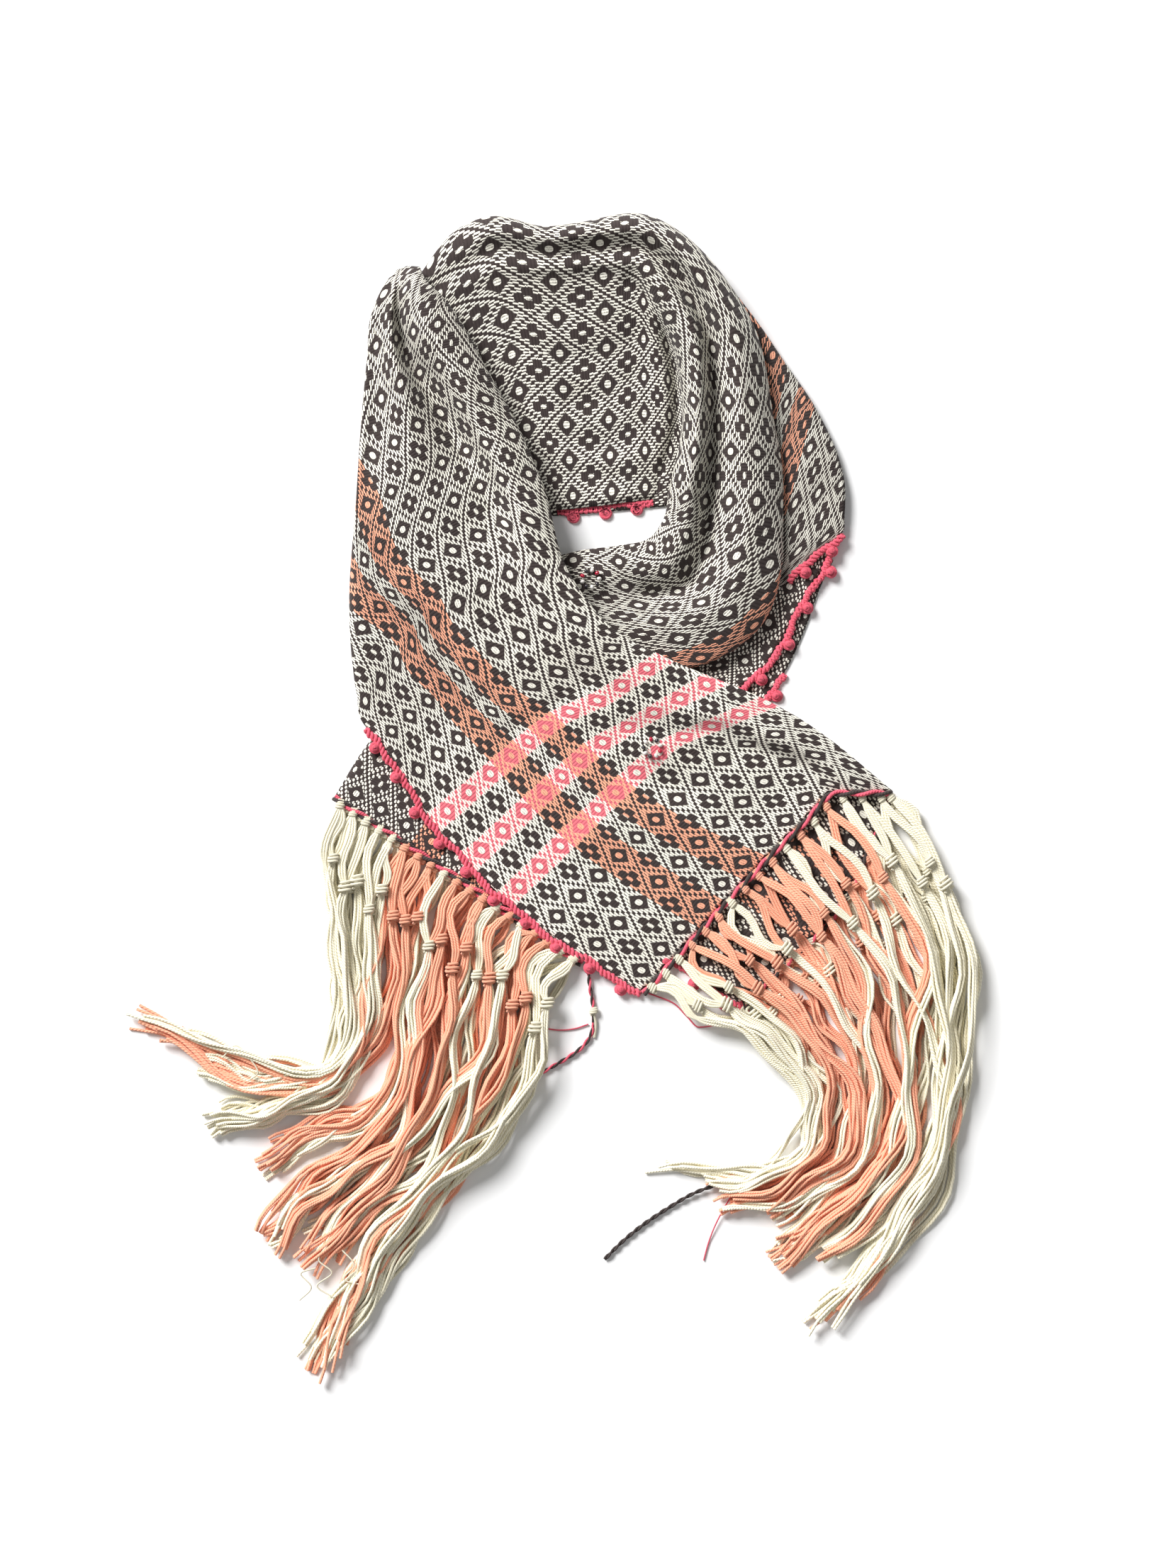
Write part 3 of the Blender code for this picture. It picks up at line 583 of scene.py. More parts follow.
# Under layer of the neck back: the other half of the folded cloth, which shows as a
# narrow strip in the gap.
WOVEN_BACK = woven_cotton("Woven cotton, weft side", 0.66)
NeckUnderRow = namedtuple("NeckUnderRow", "low high along")
NECK_UNDER = [NeckUnderRow(*row) for row in (
    ((-8, 190), (-8, 214), 0),
    ((10, 190.5), (12, 216), 18),
    ((38, 193), (40, 218), 46),
    ((80, 197), (82, 218), 88),
)]
FLOOR_LAYER = 0.8         # height of the middle of a layer that lies on the surface
FLAT_INSET = 4.0


def flat_section(near, far, across, along):
    """A straight section that lies on the surface."""
    plan = (near, towards(near, far, FLAT_INSET), between(near, far, 0.5), far)
    return weave_section(plan, [FLOOR_LAYER] * len(plan), across, along, -1)


neck_under_net = cloth_net([
    flat_section(row.low, row.high, SELVEDGE, row.along + RING_START) for row in NECK_UNDER
])
neck_under = lay_cloth("woven_neck_under", neck_under_net, ["neck_back_under"], WOVEN_BACK)

# Outer panel: the cloth at the right, from under the outer roll to the silhouette, with
# the coral stripes running down it.
PanelRow = namedtuple("PanelRow", "outer inner rolled stripes along heights")
PANEL = [PanelRow(*row) for row in (
    ((125, 338), (119, 328), 1.0, (130, 56, 20), 0, (1.2, 3.0, 3.6, 4.0, 4.2)),
    ((140, 318), (128, 310), 1.0, (128, 54, 20), 22, (1.2, 4.4, 6.0, 5.4, 4.6)),
    ((154, 297), (134, 290), 1.0, (120, 50, 16), 45, (1.2, 5.0, 7.6, 6.2, 4.8)),
    ((178, 261), (137, 252), 1.0, (90, 30, 9), 84, (1.2, 5.4, 9.0, 7.4, 4.8)),
    ((193, 228), (139, 213), 1.0, (75, 18, -4), 121, (1.6, 5.6, 9.6, 7.6, 4.9)),
    ((198, 206), (142, 180), 0.5, (67, 5, -20), 149, (5.2, 6.4, 9.0, 7.6, 5.2)),
    ((197, 182), (144, 156), 0.0, (59, -14, -50), 173, (5.9, 6.2, 8.0, 7.0, 5.4)),
    ((178, 166), (146, 144), 0.0, (39, -32, -75), 192, (5.7, 5.8, 6.6, 6.2, 5.4)),
    ((159, 146), (144, 136), 0.0, (18, -54, -96), 212, (5.5, 5.55, 5.8, 5.6, 5.4)),
)]
PANEL_ROLL = 7.0
PANEL_INSET = 2.0


def panel_section(row):
    """From under the outer roll to the silhouette, which is rolled under or a selvedge."""
    plan = (
        row.inner,
        between(row.outer, row.inner, 0.7),
        between(row.outer, row.inner, 0.4),
        towards(row.outer, row.inner, PANEL_INSET * (1 - row.rolled) + 2 * APART),
        towards(row.outer, row.inner, PANEL_ROLL * row.rolled + APART),
    )
    return weave_section(plan, row.heights[::-1], 0.0, row.along, 1)


panel_net = cloth_net([panel_section(row) for row in PANEL])
place_stripes(panel_net, PANEL)
panel_net[..., 4] += RING_START
soften(panel_net)
outer_panel = lay_cloth("woven_outer_panel", panel_net, ["outer_panel"], WOVEN)

# The other tail: two layers of the same cloth that lie on the surface and run under the
# front stretch, from the hem at the lower left up to the right.
TailRow = namedtuple("TailRow", "selvedge fold under_edge across along")
LEFT_TAIL = [TailRow(*row) for row in (
    ((22, -109), (-147, 1), (20, -112), 231, 0),
    ((48, -60), (-125, 36), (46, -63), 225, 49),
    ((77, -12), (-86, 79), (80, -15), 220, 106),
    ((101, 31), (-38, 108), (120, 21), 215, 160),
    ((125, 72), (10, 127), (143, 64), 215, 210),
    ((142, 86), (48, 141), (159, 88), 215, 242),
    ((162, 120), (86, 160), (172, 117), 215, 284),
    ((178, 148), (125, 184), (182, 144), 215, 325),
    ((188, 168), (150, 200), (190, 160), 215, 352),
)]
SECOND_LAYER = 3.4        # height of the layer above the one on the surface
EDGE_INSET = 5.0
FOLD_DROP = 1.8           # how far the upper layer bends down at the fold
FOLD_ROOM = 6.0           # how far the under layer stays away from the fold


def upper_section(row):
    """From the selvedge over to the fold, where it bends down."""
    near_fold = towards(row.fold, row.selvedge, EDGE_INSET)
    near_selvedge = towards(row.selvedge, row.fold, EDGE_INSET)
    plan = (row.selvedge, near_selvedge, between(row.selvedge, row.fold, 0.5), near_fold, row.fold)
    heights = [SECOND_LAYER] * 4 + [SECOND_LAYER - FOLD_DROP]
    return weave_section(plan, heights, row.across, row.along, -1)


def under_section(row):
    """The other half of the cloth, flat on the surface below."""
    far = towards(row.fold, row.selvedge, FOLD_ROOM)
    return flat_section(row.under_edge, far, row.across, row.along)


left_tail_net = cloth_net([upper_section(row) for row in LEFT_TAIL])
left_tail = lay_cloth("woven_other_tail", left_tail_net, ["left_tail"], WOVEN_BACK)
left_under_net = cloth_net([under_section(row) for row in LEFT_TAIL])
left_tail_under = lay_cloth("woven_other_tail_under", left_under_net, ["left_tail_under"], WOVEN_BACK)

# Under layer of the front tail, which shows between the strands of its fringe.
TailUnderRow = namedtuple("TailUnderRow", "selvedge middle fold along")
FRONT_UNDER = [TailUnderRow(*row) for row in (
    ((129, -141), (196, -70), (228, 2), 0),
    ((100, -124), (160, -45), (194, 24), 36),
    ((70, -100), (118, -25), (158, 42), 76),
)]


def front_under_section(row):
    """From the selvedge to the fold, flat on the surface."""
    plan = (row.selvedge, towards(row.selvedge, row.middle, EDGE_INSET), row.middle, row.fold)
    return weave_section(plan, [FLOOR_LAYER] * 4, SELVEDGE, row.along, -1)


front_under_net = cloth_net([front_under_section(row) for row in FRONT_UNDER])
front_under = lay_cloth("woven_front_under", front_under_net, ["front_tail_under"], WOVEN_BACK)

# Crocheted edging: crimson cotton, worked into each selvedge that shows as a chain of
# two strands, with a round picot about every 26 mm.
CRIMSON = dye(234, 96, 116)
EDGING_OFFSET = 1.6       # how far the chain lies out from the edge
NECK_OFFSET = -3.2
LINE_STEP = 0.8           # between the points of a chain or a cord
EDGING_WAVES = ((1.1, 9.0), (0.6, 3.7))    # depth and length of its unevenness
CHAIN_PITCH = 6.5
CHAIN_REACH = 1.5
CHAIN_YARN = 1.3          # radius
PICOT_PITCH = 26.0
PICOT_RADIUS = 3.1
PICOT_OUT = 3.6
PICOT_TURNS = 3.6
PICOT_LIFT = 1.6          # above the chain, and how much it is tilted
PICOT_TILT = 1.5


def read_line(line, places):
    """Points at even shares of a line's length, straight between its points."""
    lengths = np.concatenate([[0.0], np.cumsum(np.linalg.norm(np.diff(line, axis=0), axis=1))])
    return np.stack([np.interp(places * lengths[-1], lengths, values) for values in line.T], axis=1)


def line_length(line):
    """The length of a line of points."""
    return np.linalg.norm(np.diff(line, axis=0), axis=1).sum()


def square_side(line, inside):
    """Unit vectors in plan, square to an edge line and away from the inside line."""
    run = np.gradient(line, axis=0)
    side = np.stack([run[:, 1], -run[:, 0], np.zeros(len(line))], axis=1)
    side *= np.sign(np.sum(side * (line - inside), axis=1))[:, None]
    return side / np.maximum(np.linalg.norm(side, axis=1), 0.001)[:, None]


def yarn_piece(name, lines, radius, material, replaced=()):
    """Tubes of yarn along lines of points in millimetres, made one mesh. Its yarn map
    runs 0 to 1 along each tube and once round it."""
    curve = bpy.data.curves.new(name, "CURVE")
    curve.dimensions = "3D"
    curve.bevel_depth = radius * MM
    curve.bevel_resolution = 1    # six sides
    curve.use_fill_caps = True
    for line in lines:
        spline = curve.splines.new("POLY")
        spline.points.add(len(line) - 1)
        points = np.ones((len(line), 4))
        points[:, :3] = (line - MIDDLE) * MM
        spline.points.foreach_set("co", points.ravel())
        spline.use_smooth = True
    drawn = bpy.data.objects.new(name, curve)
    bpy.context.scene.collection.objects.link(drawn)
    depsgraph = bpy.context.evaluated_depsgraph_get()
    mesh = bpy.data.meshes.new_from_object(drawn.evaluated_get(depsgraph))
    bpy.data.objects.remove(drawn)
    bpy.data.curves.remove(curve)
    mesh.materials.clear()
    mesh.name = name
    made = show_object(name, mesh, material)
    if replaced:
        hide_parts(*replaced)
    return made


def yarn_ply_group():
    """A plied yarn: its strands wind round it, with painted shade in the grooves between them, and its
    colour is a little uneven.
    """
    group = bpy.data.node_groups.new("Plied yarn", "ShaderNodeTree")
    given, result = add_sockets(group, "Yarn place", {"Turns": 80.0, "Plies": 2.0}, ("Height", "Shade"))
    split = group.nodes.new("ShaderNodeSeparateXYZ")
    group.links.new(given["Yarn place"], split.inputs[0])
    phase = calculate(group, "MULTIPLY_ADD", split.outputs[0], given["Turns"], split.outputs[1])
    phase = calculate(group, "MULTIPLY", phase, given["Plies"])
    ply = calculate(group, "ABSOLUTE", calculate(group, "SINE", calculate(group, "MULTIPLY", phase, pi)))
    place = group.nodes.new("ShaderNodeTexCoord")
    fibre = noise(group, place.outputs["Object"], 1600.0, 2.0)
    height = calculate(group, "MULTIPLY_ADD", fibre, 0.5, ply)
    group.links.new(height, result["Height"])
    # painted shade, darker in the grooves between the plies, with the fibre's uneven tone added
    shade = calculate(group, "MULTIPLY_ADD", ply, 0.18, 0.86)
    shade = calculate(group, "MULTIPLY_ADD", fibre, 0.16, shade)
    group.links.new(shade, result["Shade"])


DARKER = 0.90              # the shade of a darker patch


def yarn_material(name, colour, turns):
    """Plied cotton yarn, a little darker in patches."""
    material, tree, shader, place, relief = start_cotton(name, "UVMap", 0.2, 0.6, 0.0005)
    ply = tree.nodes.new("ShaderNodeGroup")
    ply.node_tree = bpy.data.node_groups["Plied yarn"]
    ply.inputs["Turns"].default_value = turns
    tree.links.new(place, ply.inputs["Yarn place"])
    where = tree.nodes.new("ShaderNodeTexCoord")
    patch = noise(tree, where.outputs["Object"], 26.0, 2.0)
    darker = (*(channel * DARKER for channel in colour[:3]), 1.0)
    base = mix_colours(tree, patch, colour, darker)
    # the ply's painted shade in its grooves, and its uneven fibre tone, multiplied into the colour
    base = mix_colours(tree, 1.0, base, ply.outputs["Shade"], "MULTIPLY")
    tree.links.new(base, shader["Base Color"])
    tree.links.new(calculate(tree, "MULTIPLY_ADD", patch, 0.2, 0.72), shader["Roughness"])
    tree.links.new(ply.outputs["Height"], relief)
    return material


def crochet_lines(edge, inside, offset):
    """The two strands of the chain, and a coil for each picot beside it. An edging with an
    offset below 0 is tucked under the cloth by that much."""
    length = line_length(edge)
    count = max(20, round(length / LINE_STEP))
    share = np.linspace(0.0, 1.0, count)
    line = read_line(edge, share)
    side = square_side(line, read_line(inside, share))
    wobble = sum(depth * np.sin(share * length / wave) for depth, wave in EDGING_WAVES)
    line = line + side * (offset + wobble)[:, None]
    line[:, 2] += min(offset, 0.0)
    lines = []
    for start in (0.0, pi):
        turn = start + share * length / CHAIN_PITCH * tau
        uneven = CHAIN_REACH * (1 + 0.35 * np.sin(turn * 0.37 + start))
        strand = line + side * (uneven * np.cos(turn))[:, None]
        strand[:, 2] += 0.5 * CHAIN_REACH * np.sin(turn) + 0.5
        lines.append(strand)
    picots = max(1, round(length / PICOT_PITCH))
    for number in range(picots):
        at = int((number + 0.5) / picots * (count - 1))
        turn = np.linspace(0.0, PICOT_TURNS * tau, 70)
        reach = PICOT_RADIUS * (0.66 + 0.42 * np.cos(turn * 0.31 + number))
        out = PICOT_OUT + 0.5 * sin(number * 2.1)
        middle = line[at] + side[at] * out
        coil = np.stack([middle[0] + reach * np.cos(turn), middle[1] + reach * np.sin(turn),
                         middle[2] + PICOT_LIFT + PICOT_TILT * np.cos(turn * 0.31 + number + pi)], axis=1)
        lines.append(coil)
    return [np.maximum(strand, (-1000, -1000, CHAIN_YARN)) for strand in lines]


yarn_ply_group()
CROCHET = yarn_material("Crimson crochet cotton", CRIMSON, 60.0)


def share_of(net, first, last):
    """The rows of a net from one share of its length to another."""
    count = len(net) - 1
    return net[round(first * count): round(last * count) + 1]


EDGINGS = (
    ("crochet_front", "front_edging", share_of(front_net, 0.0, 0.483), 0, 4, EDGING_OFFSET),
    ("crochet_panel", "panel_edging", share_of(panel_net, 0.846, 1.0), -1, -4, EDGING_OFFSET),
    ("crochet_second_layer", "second_layer_edging", share_of(left_tail_net, 0.53, 1.0), 0, 4, EDGING_OFFSET),
    ("crochet_third_layer", "third_layer_edging", share_of(left_under_net, 0.35, 0.70), 0, 4, EDGING_OFFSET),
    ("crochet_front_under", "front_under_edging", front_under_net, 0, 4, EDGING_OFFSET),
    ("crochet_neck", "neck_edging", share_of(neck_under_net, 0.14, 0.86), 0, 4, NECK_OFFSET),
)
for name, node, net, edge, inside, offset in EDGINGS:
    lines = crochet_lines(net[:, edge, :3], net[:, inside, :3], offset)
    made = yarn_piece(name, lines, CHAIN_YARN, CROCHET, [node])

# Fringe: the warp ends past each hem, cream and coral cotton, knotted in bundles at the
# hem and again in a second row, where each bundle shares its yarns with its neighbours.
# A table row is one bundle: its dye, and where its yarns end between the two guides.
LEFT_FIRST = ((-145, 0), (-155, -41), (-155, -80), (-150, -118), (-150, -150), (-168, -172),
              (-205, -172), (-245, -158), (-286, -147))
LEFT_LAST = ((10, -104), (-8, -128), (-9, -158), (-14, -190), (-32, -225), (-58, -254),
             (-90, -286), (-128, -336), (-160, -384))
RIGHT_FIRST = ((60, -132), (88, -148), (122, -164), (150, -186), (166, -210), (160, -234),
               (130, -248), (94, -249), (60, -244))
RIGHT_LAST = ((230, 6), (254, -30), (276, -72), (287, -118), (281, -165), (276, -208),
              (258, -262), (222, -312), (176, -354))
Bundle = namedtuple("Bundle", "dye tip")
LEFT_BUNDLES = [Bundle(*row) for row in (
    ("cream", 0.26), ("cream", 0.12), ("cream", 0.30), ("cream", 0.20), ("cream", 0.38), ("coral", 0.02),
    ("coral", 0.08), ("coral", 0.45), ("cream", 0.50), ("coral", 0.60), ("coral", 0.72), ("coral", 0.84),
    ("cream", 0.66), ("coral", 0.90), ("cream", 0.80), ("coral", 0.96), ("coral", 1.00), ("cream", 0.98),
    ("cream", 0.92),
)]
RIGHT_BUNDLES = [Bundle(*row) for row in (
    ("cream", 0.02), ("cream", 0.10), ("cream", 0.20), ("coral", 0.16), ("coral", 0.34), ("coral", 0.50),
    ("cream", 0.30), ("coral", 0.62), ("coral", 0.42), ("coral", 0.74), ("cream", 0.55), ("coral", 0.86),
    ("cream", 0.70), ("coral", 0.92), ("cream", 0.60), ("cream", 0.95), ("cream", 0.85), ("cream", 1.00),
)]
Pile = namedtuple("Pile", "yarns reach low high start")
UPPER_PILE = Pile(yarns=6, reach=1.0, low=4.0, high=12.5, start=5.5)
UNDER_PILE = Pile(yarns=4, reach=0.93, low=0.9, high=5.0, start=1.2)
YARN = 1.0                # radius of one yarn
RISE, FALL = 0.10, 0.22   # shares of the fringe where it climbs the pile, and comes down
MIDWAY = (0.26, 0.62)     # places where a wisp turns on its way to the tip
HEM_KNOT = 0.014          # place of the first row of knots, as a share of the fringe
SECOND_KNOTS = (0.150, 0.126, 0.170, 0.138, 0.182, 0.120, 0.160)
PINCH = 0.72              # how much closer the yarns come together in a knot
HEM_KNOT_RADIUS = 2.3
SECOND_KNOT_RADIUS = 3.7
KNOT_TURNS = 3.1
KNOT_LENGTH = 1.9         # in radiuses, and how flat it lies
KNOT_FLAT = 0.6
KNOT_LIFT = 0.8           # of a knot above its yarns
BULGE, TWIST = 3.2, 2.0   # how far a half bundle bows out, and swings, between its knots
WANDER = ((3.8, 14), (2.1, 33))     # width of the waves below the second knots, and how many
BESIDE, ABOVE = 1.85, 1.6           # from yarn to yarn in half a bundle, in yarn radiuses
WISP_GAP = 2.8            # from the middle of a wisp to that of each half in it
TUFT_REACH = (1.02, 0.93, 0.98, 0.90, 0.97, 0.92, 1.03)    # the yarns end in seven tufts
rng = np.random.default_rng(7)


def guide(points, places):
    """A smooth line through the points, read at shares of its length."""
    points = np.array(points, dtype=float)
    knots = knots_along(points)
    return read_curve(knots / knots[-1], points, places)


def blend_between(values, places, at):
    """A smooth change from one value to the next at the given places."""
    return read_curve(np.array(places, dtype=float), np.array(values, dtype=float)[:, None], at)[:, 0]


def fringe_plan(hem, guides, share, along):
    """Plan of a yarn from its share of the hem, which may change along its length."""
    first, last = guide(guides[0], along), guide(guides[1], along)
    path = first * (1 - share)[:, None] + last * share[:, None]
    root = read_line(hem, np.clip(share, 0.0, 1.0))[:, :2]
    start = np.array(guides[0][0]) * (1 - share)[:, None] + np.array(guides[1][0]) * share[:, None]
    return path + (root - start) * ((1 - along) ** 4)[:, None]


def pile_height(pile, rank, along):
    """From the hem up over the pile of yarns, and down to the surface at the tip."""
    top = pile.low + (pile.high - pile.low) * rank
    rise = np.minimum(1.0, along / RISE)
    fall = np.clip((1.0 - along) / FALL, 0.0, 1.0)
    body = pile.start * (1 - rise) + top * rise
    return np.maximum(YARN, YARN + (body - YARN) * (0.18 + 0.82 * fall ** 0.7))


def knot_coil(middle, heading, radius):
    """A few tight turns of yarn wound round the bundle."""
    turn = np.linspace(0.0, KNOT_TURNS * tau, 34)
    side = np.array((heading[1], -heading[0], 0.0))
    swell = radius * (1 - 0.35 * np.abs(turn / turn[-1] * 2 - 1) ** 2)
    run = (turn / turn[-1] - 0.5) * KNOT_LENGTH * radius + 0.25 * radius * np.cos(turn)
    coil = middle + np.outer(run, heading) + np.outer(swell * np.cos(turn), side)
    coil[:, 2] += swell * np.sin(turn) * KNOT_FLAT
    return coil


def steps_past(second):
    """Places along a yarn, closer together at its two knots."""
    at_hem = (0.0, 0.007, HEM_KNOT, 0.022, 0.032)
    at_knot = second + np.array((-0.022, -0.011, 0.0, 0.011, 0.024))
    loose = np.linspace(at_hem[-1], at_knot[0], 6)[1:-1]
    return np.concatenate([at_hem, loose, at_knot, np.linspace(second + 0.05, 1.0, 30)])


def half_bundle(hem, guides, bundles, pile, half):
    """The yarns of half a bundle: from its hem knot over to a knot that it shares with
    half of its neighbour, and on in one wisp with them."""
    count = len(bundles)
    root = (half // 2 + 0.5) / count
    number = (half + 1) // 2
    knot = np.clip(number / count, 0.015, 0.985)
    second = SECOND_KNOTS[number % len(SECOND_KNOTS)]
    wisp = np.random.default_rng(100 * number + pile.yarns)
    tuft = round(bundles[min(number, count - 1)].tip * (len(TUFT_REACH) - 1))
    tip = tuft / (len(TUFT_REACH) - 1) + wisp.normal(0.0, 0.018)
    middle = 0.5 * knot + 0.5 * tip + wisp.normal(0.0, 0.045)
    waves = wisp.uniform(0.0, tau, 4)
    side = 1 if half % 2 else -1
    at = steps_past(second) * pile.reach * TUFT_REACH[tuft] * (1 - abs(wisp.normal(0.0, 0.02)))
    loose = 0.5 * (root + knot) + rng.normal(0.0, 0.012)
    shares = (root, root, loose, knot, knot + wisp.normal(0.0, 0.015), middle, tip - side * 0.012)
    share = blend_between(shares, (0.0, HEM_KNOT, 0.5 * second, second, *MIDWAY, 1.0), at)
    plan = fringe_plan(hem, guides, share, at)
    run = np.gradient(plan, axis=0)
    run /= np.linalg.norm(run, axis=1)[:, None]
    normal = np.column_stack([run[:, 1], -run[:, 0]])
    loop = np.clip((at - HEM_KNOT) / (second - HEM_KNOT), 0.0, 1.0)
    bulge = rng.normal(0.0, BULGE) * np.sin(pi * loop) + rng.normal(0.0, TWIST) * np.sin(tau * loop)
    plan = plan + normal * bulge[:, None]
    free = np.clip((at - second) / 0.12, 0.0, 1.0)
    wander = sum(far * np.sin(at * often + wave) for (far, often), wave in zip(WANDER, waves))
    plan = plan + normal * (free * wander)[:, None]
    rank = np.clip(wisp.uniform(0.15, 1.0) + side * 0.12 + 0.2 * np.sin(at * 8 + waves[2]), 0.0, 1.0)
    height = pile_height(pile, rank, at / pile.reach)
    spread = 1 - PINCH * np.exp(-((at - HEM_KNOT) / 0.012) ** 2)
    spread -= PINCH * np.exp(-((at - second) / 0.014) ** 2)
    turn = 1.1 * free * np.sin(at * 5 + waves[3])
    lines = []
    for yarn in range(pile.yarns):
        beside = (yarn % 3 - 1) * BESIDE * YARN + side * WISP_GAP * YARN * free
        above = (yarn // 3 - 0.5) * ABOVE * YARN
        stray = rng.uniform(0.0, tau, 2)
        own = free * (0.7 + 1.5 * at) * rng.uniform(0.3, 1.0)
        across = (beside * np.cos(turn) - above * np.sin(turn)) * spread
        across = across + own * np.sin(at * 21 + stray[0])
        lift = (beside * np.sin(turn) + above * np.cos(turn)) * spread
        lift = lift + 0.5 * own * np.sin(at * 33 + stray[1])
        kept = max(12, round(len(at) * (1 - abs(rng.normal(0.0, 0.03)))))
        line = np.column_stack([plan + normal * across[:, None], np.maximum(height + lift, YARN)])
        lines.append(line[:kept])
    return lines, second, knot


def knot_at(hem, guides, place, share, height, radius):
    """A knot in the fringe, wound square to the way that the yarns run there."""
    spot = fringe_plan(hem, guides, np.array((share, share)), np.array((place, place + 0.01)))
    heading = np.append(spot[1] - spot[0], 0.0)
    heading /= np.linalg.norm(heading)
    return knot_coil(np.append(spot[0], max(height, radius * 0.8 + YARN)), heading, radius)


def knotted_fringe(hem, guides, bundles, pile):
    """Lines for the yarns and the knots of one hem, by dye."""
    lines = {"cream": [], "coral": []}
    for half in range(2 * len(bundles)):
        dyed = lines[bundles[half // 2].dye]
        yarns, second, knot = half_bundle(hem, guides, bundles, pile, half)
        dyed.extend(yarns)
        if half % 2 == 0:
            root = (half // 2 + 0.5) / len(bundles)
            radius = HEM_KNOT_RADIUS * rng.uniform(0.9, 1.2)
            dyed.append(knot_at(hem, guides, HEM_KNOT, root, pile.start + KNOT_LIFT, radius))
        else:
            top = pile_height(pile, 1.0, np.array((second,)))[0] + KNOT_LIFT
            radius = SECOND_KNOT_RADIUS * rng.uniform(0.85, 1.2)
            dyed.append(knot_at(hem, guides, second, knot, top, radius))
    return lines


LEFT_HEM = left_tail_net[0, ::-1, :3]
RIGHT_HEM = front_net[0, :, :3]
LEFT_UNDER_HEM = left_under_net[0, ::-1, :3]
RIGHT_UNDER_HEM = front_under_net[0, :, :3]
FRINGES = (
    ("left", LEFT_HEM, (LEFT_FIRST, LEFT_LAST), LEFT_BUNDLES, UPPER_PILE),
    ("left_under", LEFT_UNDER_HEM, (LEFT_FIRST, LEFT_LAST), LEFT_BUNDLES, UNDER_PILE),
    ("right", RIGHT_HEM, (RIGHT_FIRST, RIGHT_LAST), RIGHT_BUNDLES, UPPER_PILE),
    ("right_under", RIGHT_UNDER_HEM, (RIGHT_FIRST, RIGHT_LAST), RIGHT_BUNDLES, UNDER_PILE),
)
FRINGE_CREAM = dye(250, 243, 218)
YARN_DYES = {
    "cream": yarn_material("Cream fringe yarn", FRINGE_CREAM, 90.0),
    "coral": yarn_material("Coral fringe yarn", CORAL, 90.0),
}
for side, hem, guides, bundles, pile in FRINGES:
    lines = knotted_fringe(hem, guides, bundles, pile)
    for shade, material in YARN_DYES.items():
        made = yarn_piece(f"fringe_{side}_{shade}", lines[shade], YARN, material, [f"fringe_{side}"])

# Twined hem: a dark brown and a pink yarn that wind round each other along each hem and
# hold the fringe to the cloth. The cord is about 5 mm thick, one turn is 24 mm.
TWINE_PITCH = 24.0
TWINE_REACH = 1.15        # from the cord's middle to a yarn's
TWINE_YARN = 1.35         # radius
TWINE_OFFSET = 1.6        # how far the cord lies out from the hem, and above it
TWINE_LIFT = 2.2
TWINE_DYES = {
    "brown": yarn_material("Brown twine", BROWN, 60.0),
    "pink": yarn_material("Pink twine", CRIMSON, 60.0),
}
HEMS = (
    ("left", LEFT_HEM, left_tail_net[3, ::-1, :3]),
    ("left_under", LEFT_UNDER_HEM, left_under_net[3, ::-1, :3]),
    ("right", RIGHT_HEM, front_net[3, :, :3]),
    ("right_under", RIGHT_UNDER_HEM, front_under_net[3, :, :3]),
)


def wind(line, out, reach, pitch, start, lowest):
    """A strand that winds round a line, and never goes under the surface."""
    share = np.linspace(0.0, 1.0, len(line))
    turn = start + share * line_length(line) / pitch * tau
    strand = line + out * (reach * np.cos(turn))[:, None]
    strand[:, 2] = np.maximum(strand[:, 2] + reach * np.sin(turn), lowest)
    return strand


for side, hem, inside in HEMS:
    share = np.linspace(0.0, 1.0, round(line_length(hem) / LINE_STEP))
    line = read_line(hem, share)
    out = square_side(line, read_line(inside, share))
    line = line + out * TWINE_OFFSET + (0.0, 0.0, TWINE_LIFT)
    for shade, start in (("brown", 0.0), ("pink", pi)):
        strand = wind(line, out, TWINE_REACH, TWINE_PITCH, start, TWINE_YARN)
        made = yarn_piece(f"hem_{side}_{shade}", [strand], TWINE_YARN, TWINE_DYES[shade])

# Loose ends: what is left of the hem cords at their ends, and a few stray threads. They
# lie on the surface and in the fringe; cord ends are 3 mm thick, threads 1 mm.
CordEnd = namedtuple("CordEnd", "dyes path")
CORD_ENDS = (
    CordEnd(("brown", "pink"), ((128, -138, 3), (132, -146, 3), (137, -153, 3), (145, -162, 2.5),
                                (154, -174, 2))),
    CordEnd(("brown", "pink"), ((24, -118, 3), (25, -128, 2.5), (27, -142, 2), (27, -156, 2), (22, -167, 2),
                                (11, -176, 2), (-1, -183, 2), (-13, -190, 2))),
    CordEnd(("brown", "brown"), ((112, -262, 4), (96, -268, 3), (77, -279, 2), (58, -292, 2), (46, -302, 2),
                                 (35, -313, 2))),
)
THREADS = {
    "pink": (
        ((-12, -155, 1), (-4, -157, 1), (5, -158, 1), (15, -157, 1), (24, -154, 1)),
        ((58, -131, 1), (70, -135, 1), (82, -140, 1), (91, -149, 1), (99, -156, 1), (115, -154, 2)),
        ((126, -262, 4), (116, -278, 3), (109, -292, 2), (105, -303, 1), (102, -314, 1)),
    ),
    "cream": (
        ((-150, -300, 11), (-158, -312, 12), (-149, -321, 12), (-159, -330, 11), (-148, -338, 10)),
        ((-142, -306, 11), (-134, -316, 12), (-141, -325, 12), (-128, -331, 10), (-136, -341, 9)),
        ((-160, -318, 11), (-170, -322, 11), (-163, -331, 11), (-171, -340, 9)),
        ((-223, -176, 10), (-214, -168, 11), (-205, -176, 11), (-199, -186, 11), (-206, -192, 10)),
    ),
}
CORD_END_YARN = 0.8
CORD_END_REACH = 0.75
CORD_END_PITCH = 14.0
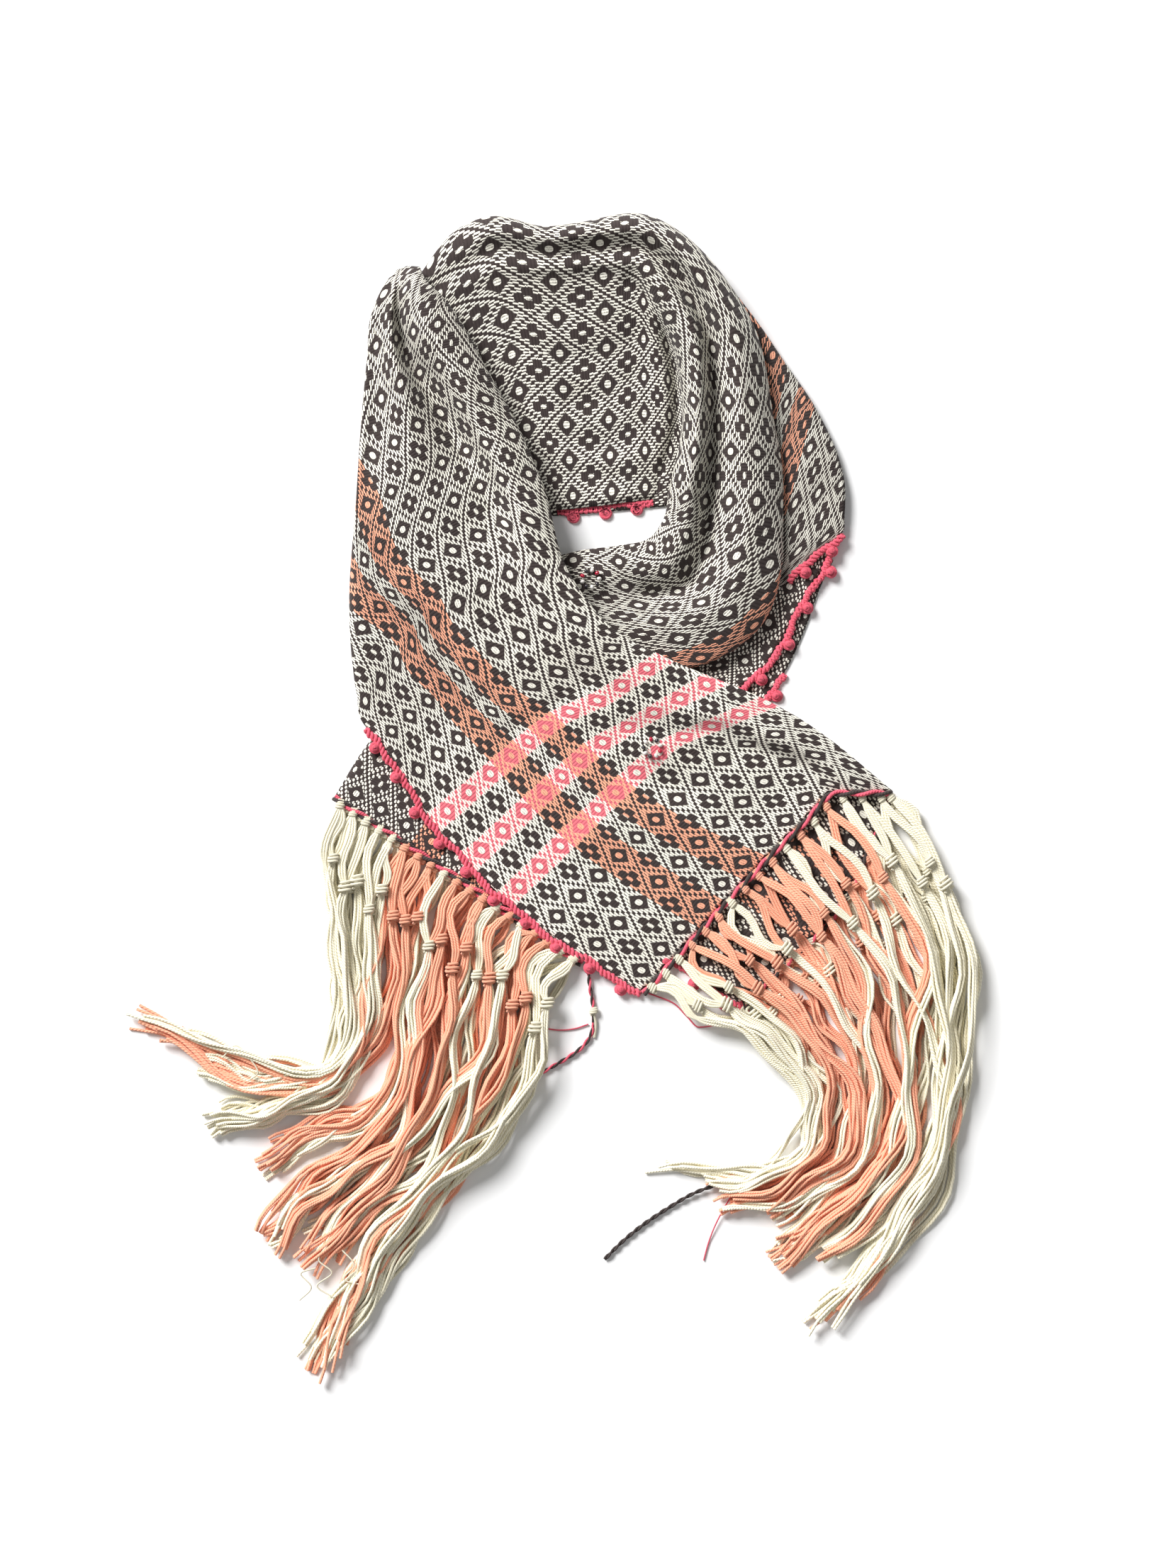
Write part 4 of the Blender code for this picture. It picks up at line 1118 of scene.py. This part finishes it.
LOOSE_KNOT = ((27.5, -145.0, 3.2), 2.2)    # middle and radius
LOOSE_YARN = ((27, -146, 2.5), (29, -154, 2), (28, -163, 1.2))
THREAD = 0.5
loose_lines = {"brown": [], "pink": []}
for cord_end in CORD_ENDS:
    line = guide(cord_end.path, np.linspace(0.0, 1.0, 60))
    out = square_side(line, line - (0.0, 1.0, 0.0))
    for shade, start in zip(cord_end.dyes, (0.0, pi)):
        loose_lines[shade].append(wind(line, out, CORD_END_REACH, CORD_END_PITCH, start, CORD_END_YARN))
for shade, lines in loose_lines.items():
    made = yarn_piece(f"loose_cord_ends_{shade}", lines, CORD_END_YARN, TWINE_DYES[shade])
knot = knot_coil(np.array(LOOSE_KNOT[0]), np.array((0.0, -1.0, 0.0)), LOOSE_KNOT[1])
knot_yarn = guide(LOOSE_YARN, np.linspace(0.0, 1.0, 16))
made = yarn_piece("loose_cord_knot", [knot, knot_yarn], YARN, YARN_DYES["cream"])
THREAD_DYES = {"pink": TWINE_DYES["pink"], "cream": YARN_DYES["cream"]}
for shade, paths in THREADS.items():
    lines = [guide(path, np.linspace(0.0, 1.0, 40)) for path in paths]
    made = yarn_piece(f"stray_threads_{shade}", lines, THREAD, THREAD_DYES[shade])

# Beads: two small rings of glass seed beads, sewn to the cloth. A bead is 3.4 mm wide, a
# ring 12 mm from bead to bead. The glass is milk white, crimson and smoke.
BEAD = 1.7                # radius
BEAD_LENGTH = 0.8         # of its width
BEAD_RING = 5.8
BEAD_ORDER = ("white", "smoke", "crimson", "white", "smoke", "white", "smoke", "white", "crimson")
BEAD_RINGS = ((67.0, 33.0, 13.6, 0.3), (25.5, 147.0, 15.5, 1.4))    # middle, height, turn
BEAD_GLASS = {"white": dye(244, 240, 234), "crimson": dye(190, 30, 62), "smoke": dye(46, 40, 46)}


def glass(name, colour):
    """Shiny, slightly clear glass."""
    material = bpy.data.materials.new(name)
    material.use_nodes = True
    shader = material.node_tree.nodes["Principled BSDF"]
    shader.inputs["Base Color"].default_value = colour
    shader.inputs["Roughness"].default_value = 0.12
    shader.inputs["Coat Weight"].default_value = 0.6
    shader.inputs["Transmission Weight"].default_value = 0.15
    return material


for shade, colour in BEAD_GLASS.items():
    bm = bmesh.new()
    for middle_x, middle_y, height, start in BEAD_RINGS:
        for number, kind in enumerate(BEAD_ORDER):
            if kind != shade:
                continue
            turn = start + number / len(BEAD_ORDER) * tau
            spot = np.array((middle_x + BEAD_RING * cos(turn), middle_y + BEAD_RING * sin(turn), height))
            lean = Euler((pi / 2, 0.0, turn)).to_matrix()
            ball = bmesh.ops.create_uvsphere(bm, u_segments=14, v_segments=8, radius=BEAD * MM)["verts"]
            bmesh.ops.scale(bm, vec=(1.0, 1.0, BEAD_LENGTH), verts=ball)
            bmesh.ops.rotate(bm, cent=(0.0, 0.0, 0.0), matrix=lean, verts=ball)
            bmesh.ops.translate(bm, vec=tuple((spot - MIDDLE) * MM), verts=ball)
    for face in bm.faces:
        face.smooth = True
    mesh = bpy.data.meshes.new(f"beads_{shade}")
    bm.to_mesh(mesh)
    bm.free()
    show_object(f"beads_{shade}", mesh, glass(f"Bead glass, {shade}", colour))


# Light, floor and world: a plain white studio with one broad soft light that comes from
# the upper left of the picture, 36 degrees above the floor.
floor_bm = bmesh.new()
bmesh.ops.create_grid(floor_bm, x_segments=1, y_segments=1, size=6.0)
floor_mesh = bpy.data.meshes.new("Floor")
floor_bm.to_mesh(floor_mesh)
floor_bm.free()
paper = bpy.data.materials.new("White paper")
paper.use_nodes = True
paper_shader = paper.node_tree.nodes["Principled BSDF"].inputs
paper_shader["Base Color"].default_value = (0.93, 0.93, 0.93, 1.0)
paper_shader["Roughness"].default_value = 0.9
floor_mesh.materials.append(paper)
floor = bpy.data.objects.new("Floor", floor_mesh)
bpy.context.scene.collection.objects.link(floor)

world = bpy.data.worlds.new("Studio")
world.use_nodes = True
sky = world.node_tree.nodes["Background"].inputs
sky["Color"].default_value = (1.0, 1.0, 1.0, 1.0)
sky["Strength"].default_value = 0.31
bpy.context.scene.world = world
lamp = bpy.data.lights.new("Window at the left", "SUN")
lamp.energy = 5.0
lamp.angle = radians(26)
lamp_stand = bpy.data.objects.new("Window at the left", lamp)
lamp_stand.rotation_euler = Euler((radians(-38), radians(-42), 0.0))
bpy.context.scene.collection.objects.link(lamp_stand)
bpy.context.scene.view_settings.view_transform = "Standard"
